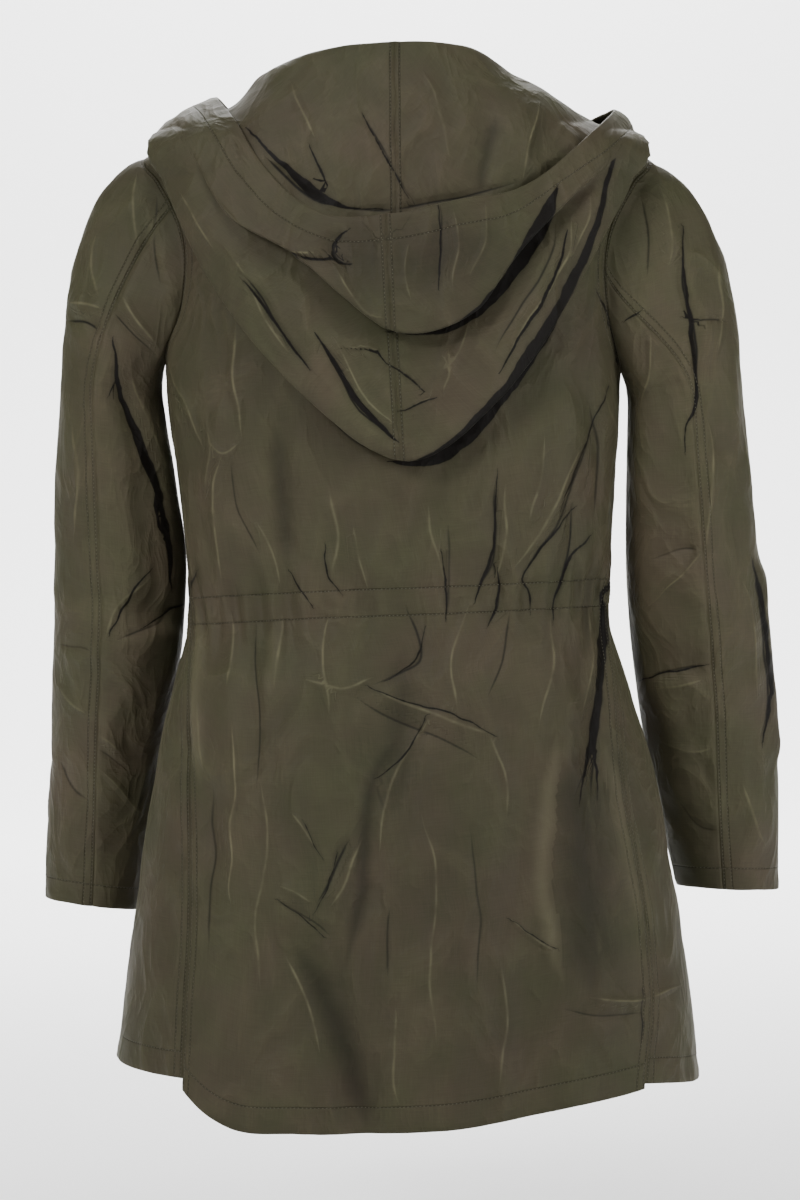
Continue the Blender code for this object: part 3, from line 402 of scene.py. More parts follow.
# Black shadows of deep and crisp folds: the cloths they lie on, and points in the picture
# with the shadow's half width there, all in its pixels.
SHADOW_ROWS = (
    # under the hood's right side, from its tip up to the shoulder
    (("pouch", "back"), ((390, 461, 0.6), (414, 463, 4), (444, 454, 8), (472, 430, 8.5), (498, 400, 7),
                         (523, 367, 6), (547, 328, 5.5), (569, 288, 5), (588, 246, 4), (601, 206, 3),
                         (612, 168, 2.4), (622, 132, 1))),
    (("pouch",), ((566, 232, 0.6), (556, 272, 1.4), (536, 310, 1.7), (518, 340, 1.3), (500, 372, 0.6))),
    # where the flap behind the brim folds over
    (("pouch", "flap"), ((388, 331, 0.6), (420, 334, 1.6), (450, 329, 3), (476, 313, 4.5), (500, 290, 5.5),
                         (520, 262, 6.5), (537, 234, 7.5), (549, 210, 6.5), (557, 188, 1.5))),
    (("pouch",), ((243, 280, 0.5), (258, 298, 1.3), (276, 324, 1.3), (296, 352, 1.1), (314, 374, 0.4))),
    (("pouch",), ((316, 334, 0.8), (331, 358, 2.2), (345, 382, 3), (364, 408, 3.2), (380, 426, 2.6),
                  (398, 442, 0.8))),
    (("pouch",), ((338, 348, 0.5), (362, 351, 0.9), (377, 351, 1.5), (382, 360, 0.9))),
    (("pouch",), ((386, 363, 0.6), (408, 376, 0.9), (426, 393, 0.5))),
    (("pouch",), ((400, 412, 0.4), (418, 404, 1.1), (437, 396, 0.4))),
    (("flap",), ((347, 230, 0.6), (338, 238, 1.6), (333, 250, 1.6), (338, 261, 1.3), (352, 263, 0.5))),
    (("flap",), ((284, 250, 0.5), (308, 257, 1.1), (326, 258, 1.3), (336, 252, 0.6))),
    (("flap",), ((439, 206, 0.5), (441, 248, 1), (438, 290, 0.5))),
    # above the brim
    (("inside",), ((250, 132, 0.8), (268, 150, 1.6), (287, 168, 2.8), (304, 184, 4.8), (319, 196, 5.4),
                   (334, 204, 3), (350, 208, 1), (384, 208, 0.5))),
    (("inside",), ((310, 146, 0.5), (319, 164, 1.2), (326, 184, 0.9))),
    (("inside",), ((362, 112, 0.4), (384, 154, 0.9), (408, 198, 0.5))),
    # left sleeve
    (("sleeve_left",), ((112, 340, 0.7), (117, 372, 1.9), (123, 396, 2.4), (133, 422, 3.7), (145, 457, 4.4),
                        (156, 486, 4.2), (164, 515, 3.4), (169, 550, 3), (170, 586, 0.8))),
    (("sleeve_left",), ((154, 487, 1), (157, 516, 1.8), (164, 540, 1))),
    (("sleeve_left",), ((119, 378, 1.2), (110, 395, 0.4))),
    (("sleeve_left",), ((151, 570, 0.5), (134, 586, 1), (123, 608, 1.3), (110, 634, 0.5))),
    (("sleeve_left",), ((188, 603, 0.8), (172, 607, 1), (164, 614, 0.9), (144, 627, 0.5))),
    # right sleeve
    (("sleeve_right",), ((683, 228, 0.5), (684, 270, 1.3), (690, 315, 2), (692, 340, 2.6), (696, 368, 2),
                         (698, 390, 2.5), (694, 412, 1.6), (687, 426, 0.9), (686, 452, 0.4))),
    (("sleeve_right",), ((684, 317, 0.4), (694, 319, 0.8), (700, 319, 0.3))),
    (("sleeve_right",), ((640, 311, 0.4), (634, 316, 1), (624, 322, 0.4))),
    (("sleeve_right",), ((750, 560, 0.6), (760, 606, 2), (768, 650, 2.2), (772, 696, 1.8), (762, 742, 0.6))),
    (("sleeve_right",), ((640, 680, 0.4), (676, 671, 0.9), (706, 665, 0.4))),
    # back above the waist
    (("back",), ((596, 292, 0.4), (608, 322, 1.2), (618, 362, 1.4))),
    (("back",), ((608, 386, 0.5), (596, 416, 0.9), (583, 452, 1), (567, 493, 0.9), (559, 512, 0.4))),
    (("back",), ((574, 508, 0.5), (549, 538, 1.2), (535, 556, 1.2), (521, 579, 0.9), (529, 594, 1.1),
                 (530, 610, 0.5))),
    (("back",), ((590, 536, 0.6), (571, 556, 1.3), (562, 579, 1.2), (553, 600, 1), (553, 622, 0.4))),
    (("back",), ((496, 470, 0.4), (496, 511, 1), (492, 552, 1.4), (480, 586, 1.2), (474, 602, 0.5))),
    (("back",), ((497, 570, 0.5), (499, 590, 1.1), (496, 607, 1.1), (490, 626, 0.5))),
    (("back",), ((620, 552, 0.5), (616, 576, 2), (604, 590, 2.4), (600, 596, 1))),
    (("back",), ((441, 552, 0.4), (447, 590, 1.1), (446, 620, 0.5))),
    (("back",), ((326, 546, 0.4), (328, 572, 0.9), (340, 594, 0.4))),
    (("back",), ((290, 572, 0.4), (300, 590, 0.9), (311, 606, 0.4))),
    (("back",), ((196, 572, 0.4), (188, 592, 1.2), (190, 606, 0.5))),
    # skirt
    (("back",), ((600, 592, 1.6), (604, 614, 3.6), (603, 654, 4.6), (600, 698, 4.2), (595, 738, 4.2),
                 (588, 764, 1.4), (580, 802, 0.6))),
    (("back",), ((597, 748, 1.4), (599, 774, 1), (599, 800, 0.4))),
    (("back",), ((426, 719, 0.4), (404, 755, 0.9), (377, 779, 0.4))),
    (("back",), ((368, 686, 0.4), (412, 704, 0.8), (450, 713, 0.9), (494, 736, 0.4))),
    (("back",), ((424, 628, 0.3), (417, 656, 0.8), (386, 681, 0.4))),
    (("back",), ((278, 900, 0.3), (300, 917, 0.5), (322, 936, 0.3))),
    (("back",), ((337, 854, 0.3), (328, 884, 0.5), (314, 914, 0.3))),
    (("back",), ((304, 822, 0.2), (313, 842, 0.4), (322, 858, 0.2))),
    (("back",), ((508, 920, 0.3), (532, 935, 0.5), (556, 949, 0.3))),
    (("back",), ((642, 990, 0.3), (643, 1016, 0.6), (641, 1040, 0.3))),
)

# Paler (above 0) and darker areas of the cloth: painted light on the sleeves, painted light and shade of broad folds,
# and a few patches of the cloth's own tone. Where they lie, the middle and half sizes in the picture, and the change of
# tone.
LIGHT_AND_TONE_ROWS = (
    ("sleeve_left", 100, 480, 90, 420, 0.10),
    ("sleeve_left", 90, 720, 70, 130, 0.10),
    ("sleeve_right", 680, 480, 90, 420, 0.20),
    ("flap", 420, 262, 130, 60, -0.20),
    ("pouch", 400, 380, 140, 130, 0.08),
    ("back", 380, 480, 200, 160, 0.05),
    ("back", 205, 700, 30, 160, 0.12),
    ("back", 590, 880, 46, 170, -0.22),
    ("back", 430, 900, 110, 240, -0.11),
    ("back", 395, 780, 24, 46, -0.10),
    ("back", 336, 1040, 26, 90, -0.16),
    ("back", 421, 1012, 20, 42, 0.14),
    ("back", 570, 985, 14, 40, -0.14),
    ("back", 498, 1050, 30, 60, -0.08),
    ("back", 290, 500, 14, 70, -0.10),
    ("back", 236, 780, 12, 110, 0.12),
)

# Creases on the front, which the picture doesn't show, in millimetres: x and z.
FRONT_CREASE_ROWS = (
    (6, 2.0, ((150, -230), (128, -290), (120, -372))),
    (5, -1.8, ((98, -250), (90, -310), (96, -372))),
    (5, 1.8, ((34, -290), (42, -330), (36, -374))),
    (6, -2.0, ((-60, -250), (-72, -310), (-64, -368))),
    (5, 1.8, ((-146, -230), (-132, -300), (-138, -366))),
    (6, 2.0, ((150, -410), (146, -500), (160, -600))),
    (6, -2.0, ((104, -410), (112, -500), (104, -600))),
    (5, 1.8, ((56, -405), (62, -470), (54, -560))),
    (5, -1.8, ((-46, -405), (-56, -480), (-48, -560))),
    (6, 2.0, ((-104, -400), (-112, -490), (-102, -600))),
    (6, -1.8, ((-160, -400), (-170, -490), (-176, -600))),
    (5, 1.6, ((80, -600), (128, -640), (150, -700))),
    (5, 1.6, ((-60, -620), (-110, -650), (-160, -690))),
    (5, 1.6, ((120, -120), (96, -170), (60, -200))),
    (5, 1.6, ((-124, -116), (-100, -164), (-62, -196))),
)


# ---- curves and sections, as in the solids ----------------------------------
def smooth(knots, values, at):
    """Cubic curve through (knots, values), with slopes taken from the neighbours."""
    knots = np.asarray(knots, float)
    values = np.asarray(values, float)
    at = np.clip(np.asarray(at, float), knots[0], knots[-1])
    slopes = np.gradient(values, knots, axis=0)
    index = np.clip(np.searchsorted(knots, at, side="right") - 1, 0, len(knots) - 2)
    step = knots[index + 1] - knots[index]
    share = (at - knots[index]) / step
    if values.ndim > 1:
        share = share[..., None]
        step = step[..., None]
    rise = share * share * (3 - 2 * share)
    return ((1 - rise) * values[index] + rise * values[index + 1]
            + step * share * (1 - share) ** 2 * slopes[index]
            - step * share ** 2 * (1 - share) * slopes[index + 1])


LEVELS = [row[0] for row in reversed(BODY_ROWS)]


def body_size(name, level):
    """A named size of the body's section at a level."""
    place = BODY.index(name)
    return smooth(LEVELS, [row[place] for row in reversed(BODY_ROWS)], level)


def waist_level(theta):
    """Height of the drawn-in waist, which is lower on the left."""
    share = 0.5 * (1 - np.cos(theta))
    return WAIST_LEFT + (WAIST_RIGHT - WAIST_LEFT) * share


def distance_to_line(x, z, start, end):
    """Distance of (x, z) from a line between two points, and the share along it."""
    along = np.array(end, float) - np.array(start, float)
    share = ((x - start[0]) * along[0] + (z - start[1]) * along[1]) / along.dot(along)
    near = np.clip(share, 0, 1)
    return np.hypot(x - start[0] - near * along[0], z - start[1] - near * along[1]), near


def body_folds(x, y, z):
    """How far the large folds move the cloth out."""
    out = np.zeros_like(x)
    for side, x0, z0, x1, z1, half, height in FOLD_ROWS:
        facing = np.clip((y if side == "back" else -y) / 30.0, 0, 1)
        away, _ = distance_to_line(x, z, (x0, z0), (x1, z1))
        out += facing * height * np.exp(-(away / half) ** 2)
    return out


def body_surface(theta, level, wave=0.0):
    """Points of the body at an angle from the left side towards the back, and a level."""
    theta, level, wave = np.broadcast_arrays(np.asarray(theta, float), level, wave)
    cos, sin = np.cos(theta), np.sin(theta)
    width = np.where(cos >= 0, body_size("left", level), body_size("right", level))
    depth = np.where(sin >= 0, body_size("back", level), body_size("front", level))
    x = width * np.sign(cos) * np.abs(cos) ** (2 / SECTION_POWER)
    y = depth * np.sign(sin) * np.abs(sin) ** (2 / SECTION_POWER)
    z = level - body_size("drop", level) * np.clip(-sin, 0, 1) ** 2
    push = body_folds(x, y, z)
    reach = (level - waist_level(theta)) / GATHER_REACH
    push = push + GATHER_HEIGHT * wave * np.exp(-reach ** 2)
    length = np.hypot(x / width, y / depth) + 1e-9
    outward = np.stack([x / width ** 2, y / depth ** 2], -1)
    outward /= np.linalg.norm(outward, axis=-1, keepdims=True) + 1e-12
    fade = np.clip(-level / 60.0, 0, 1) * np.minimum(length, 1.0)
    x = x + outward[..., 0] * push * fade
    y = y + outward[..., 1] * push * fade
    return np.stack([x, y, z], -1)


def angle_at_depth(level, y):
    """Angle behind (or in front of) the side line where the section has depth y."""
    depth = np.where(y >= 0, body_size("back", level), body_size("front", level))
    return np.sign(y) * np.arcsin(np.clip(np.abs(y) / depth, 0, 1) ** (SECTION_POWER / 2))


def armhole_depth(side, level, half):
    """Half width of the armhole at a level; nothing above its top or below its bottom."""
    bottom = ARMPIT[side]
    middle = 0.5 * (SHOULDER_TIP + bottom)
    reach = 0.5 * (SHOULDER_TIP - bottom)
    return half * np.sqrt(np.maximum(0.0, 1 - ((level - middle) / reach) ** 2))


def seam_angle(side, level, panel_name):
    """Angle of a panel's edge from the side line: side seam, armhole, then shoulder seam."""
    seam = body_size("seam_l" if side == "left" else "seam_r", level)
    half = ARMHOLE_BACK if panel_name == "back" else -ARMHOLE_FRONT
    return angle_at_depth(level, seam + armhole_depth(side, level, half))


def angle_at_width(level, x):
    """Angle on the front at a distance x from the centre line."""
    width = body_size("left" if x >= 0 else "right", level)
    turn = np.arcsin(np.clip(abs(x) / width, 0, 1) ** (SECTION_POWER / 2))
    return -0.5 * pi + np.sign(x) * turn


# ---- random heights ---------------------------------------------------------
def lattice(seed):
    """A block of random heights that repeats every 32 cells."""
    return np.random.RandomState(seed).uniform(-1, 1, (32, 32, 32))


def noise(points, size, seed):
    """Smooth random height, from -1 to 1, whose humps are about size across."""
    values = lattice(seed)
    at = points / size
    cell = np.floor(at).astype(int)
    part = at - cell
    part = part * part * (3 - 2 * part)
    out = 0
    for corner in np.ndindex(2, 2, 2):
        weight = np.prod(np.where(np.array(corner) == 1, part, 1 - part), axis=-1)
        index = (cell + np.array(corner)) % 32
        out = out + weight * values[index[..., 0], index[..., 1], index[..., 2]]
    return out


def facets(points, size, seed):
    """Random height of flat facets that meet in straight sharp creases, as in crisp cloth."""
    values = lattice(seed)
    turned = points @ np.array([[0.80, 0.36, -0.48], [-0.60, 0.48, -0.64], [0.0, 0.80, 0.60]])
    bend = np.stack([noise(turned, 1.9 * size, seed + place) for place in (1, 2, 3)], -1)
    at = turned / size + 0.45 * bend
    cell = np.floor(at).astype(int)
    part = at - cell
    order = np.argsort(-part, axis=-1)
    ranked = np.take_along_axis(part, order, -1)
    index = cell % 32
    before = 1 - ranked[..., 0]
    out = before * values[index[..., 0], index[..., 1], index[..., 2]]
    corner = cell.copy()
    for place in range(3):
        step = np.zeros_like(cell)
        np.put_along_axis(step, order[..., place:place + 1], 1, -1)
        corner = corner + step
        index = corner % 32
        share = ranked[..., place] - (ranked[..., place + 1] if place < 2 else 0)
        out = out + share * values[index[..., 0], index[..., 1], index[..., 2]]
    return out


def crinkle(points):
    """Height of the small random creases that crisp woven cloth has all over."""
    calm = 0.55 + 0.45 * noise(points, 85, 11)
    stretched = points * np.array([1.0, 1.0, 0.62])
    return (3.6 * facets(stretched, 58, 21) * calm
            + 1.8 * facets(points, 26, 31) * (0.50 + 0.50 * noise(points, 60, 12))
            + 0.6 * facets(points, 12, 41) * (0.45 + 0.55 * noise(points, 45, 13)))


# ---- grids ------------------------------------------------------------------
def unit(vectors):
    """Vectors at length one."""
    return vectors / (np.linalg.norm(vectors, axis=-1, keepdims=True) + 1e-12)


def grid_normals(points, outward):
    """Normals of a grid, all on the side that outward points to on the whole."""
    normals = unit(np.cross(np.gradient(points, axis=1), np.gradient(points, axis=0)))
    return normals * np.sign(np.sum(normals * outward))


def run_along(points, axis):
    """Distance of each point from the grid's first line, along the cloth."""
    steps = np.linalg.norm(np.diff(points, axis=axis), axis=-1)
    start = np.zeros_like(steps[:1] if axis == 0 else steps[:, :1])
    return np.concatenate([start, np.cumsum(steps, axis=axis)], axis)


def in_picture(points):
    """Where points lie in the picture of the back, in its pixels."""
    scale = PICTURE_SCALE * (1 - points[..., 1] / CAMERA_AWAY)
    right = PICTURE_CENTRE[0] - points[..., 0] / scale
    down = PICTURE_CENTRE[1] - (points[..., 2] - CAMERA_LEVEL) / scale
    return right, down


def line_height(right, down, scale, half, height, line):
    """Height of one crease, its signed distance (less for wide ones), and its strength."""
    knots = np.arange(len(line))
    line = smooth(knots, line, np.linspace(0, len(line) - 1, 5 * len(line)))
    lengths = np.linalg.norm(np.diff(line, axis=0), axis=-1)
    nearest = np.full(right.shape, np.inf)
    signed = np.full(right.shape, FAR)
    place = np.zeros(right.shape)
    run = 0.0
    for start, end, length in zip(line[:-1], line[1:], lengths):
        away, near = distance_to_line(right, down, start, end)
        turn = (end[0] - start[0]) * (down - start[1]) - (end[1] - start[1]) * (right - start[0])
        closer = away < nearest
        nearest = np.where(closer, away, nearest)
        signed = np.where(closer, np.where(turn < 0, -away, away) * scale, signed)
        place = np.where(closer, (run + near * length) / lengths.sum(), place)
        run += length
    taper = np.clip(6 * place * (1 - place), 0, 1)
    flank = np.clip(1 - nearest * scale / (CREASE_FLANK * half), 0, 1) ** CREASE_POWER
    signed = signed * MARK_HALF / (half * np.maximum(taper, THIN_END))
    return taper * height * flank, signed, taper * height


def add_creases(rows, right, down, scale):
    """The creases' heights, with the nearest one's distance and strength, narrow and wide apart."""
    heights = np.zeros(right.shape)
    marks = {"crease_away": np.full(right.shape, FAR), "crease_height": np.zeros(right.shape),
             "fold_away": np.full(right.shape, FAR), "fold_height": np.zeros(right.shape)}
    for half, height, line in rows:
        raised, signed, strength = line_height(right, down, scale, half, height, line)
        heights += raised
        away, stands = ("fold_away", "fold_height") if half >= WIDE else ("crease_away", "crease_height")
        closer = np.abs(signed) < np.abs(marks[away])
        marks[away] = np.where(closer, signed, marks[away])
        marks[stands] = np.where(closer, strength, marks[stands])
    for kind in ("crease", "fold"):
        marks[kind + "_height"] *= np.clip(2 - np.abs(marks[kind + "_away"]) / MARK_HALF, 0, 1)
    return heights, marks


def wander(points):
    """Small sideways shifts in pixels that keep the creases from running like ruled lines."""
    return 3.0 * noise(points, 24, 71), 3.0 * noise(points, 24, 72)


def creases(points, names):
    """Creases seen from behind in the cloths named, as add_creases gives them."""
    right, down = in_picture(points)
    aside, along = wander(points)
    rows = [row[1:] for row in CREASE_ROWS if row[0] in names]
    return add_creases(rows, right + aside, down + along, PICTURE_SCALE)


def shadows(points, names):
    """Signed distance in mm to the middle of the nearest black shadow, and its half width there."""
    right, down = in_picture(points)
    aside, along = wander(points)
    right = right + SHADOW_WANDER * aside + SHADOW_SHAKE * noise(points, 8, 73)
    down = down + SHADOW_WANDER * along + SHADOW_SHAKE * noise(points, 8, 74)
    nearest = np.full(right.shape, FAR)
    signed, width = nearest.copy(), np.zeros(right.shape)
    for cloths, line in SHADOW_ROWS:
        if set(cloths) & set(names):
            line = smooth(np.arange(len(line)), line, np.linspace(0, len(line) - 1, 5 * len(line)))
            for start, end in zip(line[:-1], line[1:]):
                away, near = distance_to_line(right, down, start[:2], end[:2])
                half = (start[2] + near * (end[2] - start[2])) * PICTURE_SCALE
                away = away * PICTURE_SCALE
                turn = (end[0] - start[0]) * (down - start[1]) - (end[1] - start[1]) * (right - start[0])
                closer = away - half < nearest
                nearest = np.where(closer, away - half, nearest)
                signed = np.where(closer, np.where(turn < 0, -away, away), signed)
                width = np.where(closer, half, width)
    width -= SHADOW_FADE * np.clip(nearest / GRID - 1.5, 0, 1)
    return {"shadow_away": signed, "shadow_half": width, "tone": cloth_light_and_tone(points, names)}


def cloth_light_and_tone(points, names):
    """Tone of the cloth beside its plain colour, at 1: painted light and painted shade in the paler and darker areas,
    with a few patches of the cloth's own tone.
    """
    right, down = in_picture(points)
    aside, along = wander(points)
    out = np.ones(right.shape)
    for cloth, x, y, wide, high, change in LIGHT_AND_TONE_ROWS:
        if cloth in names:
            out += change * np.exp(-((right + aside - x) / wide) ** 2 - ((down + along - y) / high) ** 2)
    return out


def front_creases(points):
    """Creases on the front, as add_creases gives them."""
    aside, along = wander(points)
    return add_creases(FRONT_CREASE_ROWS, points[..., 0] + aside, points[..., 2] + along, 1.0)


def worn_ridges(points, height):
    """How far the cloth's own creases stand out (above 0) or lie in (below 0), from -1 to 1; the material paints this
    as wear and a highlight on ridges and as shade in folds.
    """
    along = max(0.5, float(np.median(np.linalg.norm(np.diff(points, axis=0), axis=-1))))
    across = max(0.5, float(np.median(np.linalg.norm(np.diff(points, axis=1), axis=-1))))
    bend = np.zeros_like(height)
    bend[1:-1] -= (height[2:] - 2 * height[1:-1] + height[:-2]) / along ** 2
    bend[:, 1:-1] -= (height[:, 2:] - 2 * height[:, 1:-1] + height[:, :-2]) / across ** 2
    return np.clip(bend * WEAR_AND_LIGHT_GAIN, -1, 1)


def seam_relief(points, edges):
    """Ripples and a low ridge beside the seams at the named edges of a grid."""
    across, along = run_along(points, 1), run_along(points, 0)
    choices = {
        "first column": (points[:, :1], across),
        "last column": (points[:, -1:], across[:, -1:] - across),
        "first row": (points[:1], along),
        "last row": (points[-1:], along[-1:] - along),
    }
    out = np.zeros(points.shape[:-1])
    for name in edges:
        edge, away = choices[name]
        ripple = noise(edge + 0.25 * (points - edge), PUCKER_SIZE, 51)
        held = 1 - np.exp(-(away / 2.5) ** 2)
        out += held * PUCKER * ripple * np.exp(-(away / PUCKER_REACH) ** 2)
        out += SEAM_RIDGE * np.exp(-((away - 4.5) / 2.5) ** 2)
    return out


def seam_fade(points, edges):
    """Share of the creases that the seams at the named edges let through; none on the seam."""
    across, along = run_along(points, 1), run_along(points, 0)
    away = {"first column": across, "last column": across[:, -1:] - across,
            "first row": along, "last row": along[-1:] - along}
    out = np.ones(points.shape[:-1])
    for name in edges:
        out *= np.clip(away[name] / 7.0, 0, 1)
    return out


def away_from(points, edges):
    """Distance along the cloth to the nearest of the named edges of a grid."""
    across, along = run_along(points, 1), run_along(points, 0)
    away = {"first column": across, "last column": across[:, -1:] - across,
            "first row": along, "last row": along[-1:] - along}
    return np.minimum.reduce([away[name] for name in edges])


def turn_under(points, normals, depth=HEM_DEPTH):
    """Rows that turn the grid's first row under and run back up inside it."""
    run = run_along(points, 0)
    radius = 0.5 * HEM_GAP
    down = unit(points[0] - points[1])
    bend = [points[0] + down * radius * np.sin(turn) - normals[0] * radius * (1 - np.cos(turn))
            for turn in (0.8, 1.6, 2.4)]
    inner = []
    for distance in np.linspace(0, depth, 8):
        row = np.empty_like(points[0])
        for place in range(points.shape[1]):
            lifted = points[:, place] - normals[:, place] * HEM_GAP
            row[place] = [np.interp(distance, run[:, place], lifted[:, axis]) for axis in range(3)]
        inner.append(row)
    return np.concatenate([np.array(inner)[::-1], np.array(bend)[::-1], points], 0)


# What a cloth piece notes for its material, and the value where nothing is noted.
MARKS = (("worn", 0.0), ("crease_away", FAR), ("crease_height", 0.0), ("fold_away", FAR),
         ("fold_height", 0.0), ("shadow_away", FAR), ("shadow_half", 0.0), ("tone", 1.0), ("seam_away", FAR), ("row_away", FAR))


def cloth_piece(name, points, material, marks=None, body="jacket"):
    """A grid of points in mm as a thin shell of cloth that rides on a body.

    marks holds, for the grid's last rows, the bend of its creases painted into the colour (from -1,
    painted shade in folds, to 1, wear and a painted highlight on ridges), the distance to the nearest
    crease and that crease's height, and the distances to the nearest double-stitched seam and to the nearest single row
    of stitches.
    """
    rows, columns, _ = points.shape
    first = (np.arange(rows - 1)[:, None] * columns + np.arange(columns - 1)[None, :]).reshape(-1)
    faces = np.stack([first, first + 1, first + columns + 1, first + columns], -1)
    mesh = bpy.data.meshes.new(name)
    mesh.from_pydata((points.reshape(-1, 3) * MM).tolist(), [], faces.tolist())
    cut = np.zeros((rows * columns, 3))
    cut[:, 0] = run_along(points, 1).reshape(-1) * MM
    cut[:, 1] = run_along(points, 0).reshape(-1) * MM
    mesh.attributes.new("cut", "FLOAT_VECTOR", "POINT").data.foreach_set("vector", cut.reshape(-1))
    for key, plain in MARKS:
        values = np.full((rows, columns), plain)
        if marks is not None:
            values[rows - len(marks[key]):] = marks[key]
        mesh.attributes.new(key, "FLOAT", "POINT").data.foreach_set("value", values.reshape(-1))
    mesh.materials.append(material)
    mesh.shade_smooth()
    obj = bpy.data.objects.new(name, mesh)
    bpy.context.scene.collection.objects.link(obj)
    shell = obj.modifiers.new("wall", "SOLIDIFY")
    shell.thickness = WALL * MM
    shell.offset = 0.0
    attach(obj, body)
    return obj


def stand_in(node):
    """Let a piece of cloth stand for its node by hiding the node's solid."""
    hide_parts(node)


def upended(marks):
    """Marks of a grid that was turned upside down."""
    return {key: values[::-1] for key, values in marks.items()}


def resample(points, distances):
    """Points at distances along a line of points."""
    run = np.concatenate([[0], np.cumsum(np.linalg.norm(np.diff(points, axis=0), axis=-1))])
    return np.stack([np.interp(distances, run, points[:, axis]) for axis in range(3)], -1)


def inset_line(points, normals, edge, distance):
    """The line in a grid that lies a distance in from one of its edges, with its normals."""
    if edge in ("first row", "last row"):
        points, normals = points.transpose(1, 0, 2), normals.transpose(1, 0, 2)
    if edge.startswith("last"):
        points, normals = points[:, ::-1], normals[:, ::-1]
    run = run_along(points, 1)
    line, ups = [], []
    for row in range(len(points)):
        line.append([np.interp(distance, run[row], points[row, :, axis]) for axis in range(3)])
        ups.append([np.interp(distance, run[row], normals[row, :, axis]) for axis in range(3)])
    return np.array(line), unit(np.array(ups))


def stitch_piece(name, lines, material, body="jacket"):
    """Rows of stitches as small spindles of thread lying on lines of points."""
    corners = []
    for line, ups in lines:
        total = np.linalg.norm(np.diff(line, axis=0), axis=-1).sum()
        centres = np.arange(0.5 * STITCH_PITCH, total, STITCH_PITCH)
        start = resample(line, centres - 0.5 * STITCH_LENGTH)
        end = resample(line, centres + 0.5 * STITCH_LENGTH)
        run = np.concatenate([[0], np.cumsum(np.linalg.norm(np.diff(line, axis=0), axis=-1))])
        up = unit(np.stack([np.interp(centres, run, ups[:, axis]) for axis in range(3)], -1))
        side = unit(np.cross(end - start, up))
        top = 0.5 * (start + end) + up * (0.5 * WALL)
        corners.append(np.stack([
            start + up * (0.5 * WALL - 0.1), end + up * (0.5 * WALL - 0.1),
            top + side * 0.5 * STITCH_WIDTH, top - side * 0.5 * STITCH_WIDTH,
            top + up * STITCH_RISE, top - up * STITCH_RISE], 1))
    corners = np.concatenate(corners)
    pattern = np.array([(0, 4, 2), (0, 3, 4), (0, 5, 3), (0, 2, 5), (1, 2, 4), (1, 4, 3), (1, 3, 5), (1, 5, 2)])
    faces = (np.arange(len(corners))[:, None, None] * 6 + pattern[None]).reshape(-1, 3)
    mesh = bpy.data.meshes.new(name)
    mesh.from_pydata((corners.reshape(-1, 3) * MM).tolist(), [], faces.tolist())
    mesh.materials.append(material)
    mesh.shade_smooth()
    obj = bpy.data.objects.new(name, mesh)
    bpy.context.scene.collection.objects.link(obj)
    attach(obj, body)
    return obj


# ---- materials --------------------------------------------------------------
MIX_FACTOR, MIX_A, MIX_B, MIX_RESULT = 0, 6, 7, 2   # the colour sockets of a mix node


def new_material(name):
    """An empty node material with its shader, and a function that adds nodes to it."""
    made = bpy.data.materials.new(name)
    made.use_nodes = True
    tree = made.node_tree
    shader = tree.nodes["Principled BSDF"]

    def add(kind, inputs=None, **settings):
        node = tree.nodes.new(kind)
        for key, value in settings.items():
            setattr(node, key, value)
        for key, value in (inputs or {}).items():
            if isinstance(value, bpy.types.NodeSocket):
                tree.links.new(value, node.inputs[key])
            else:
                node.inputs[key].default_value = value
        return node

    def link(output, socket):
        tree.links.new(output, socket)

    return made, shader, add, link


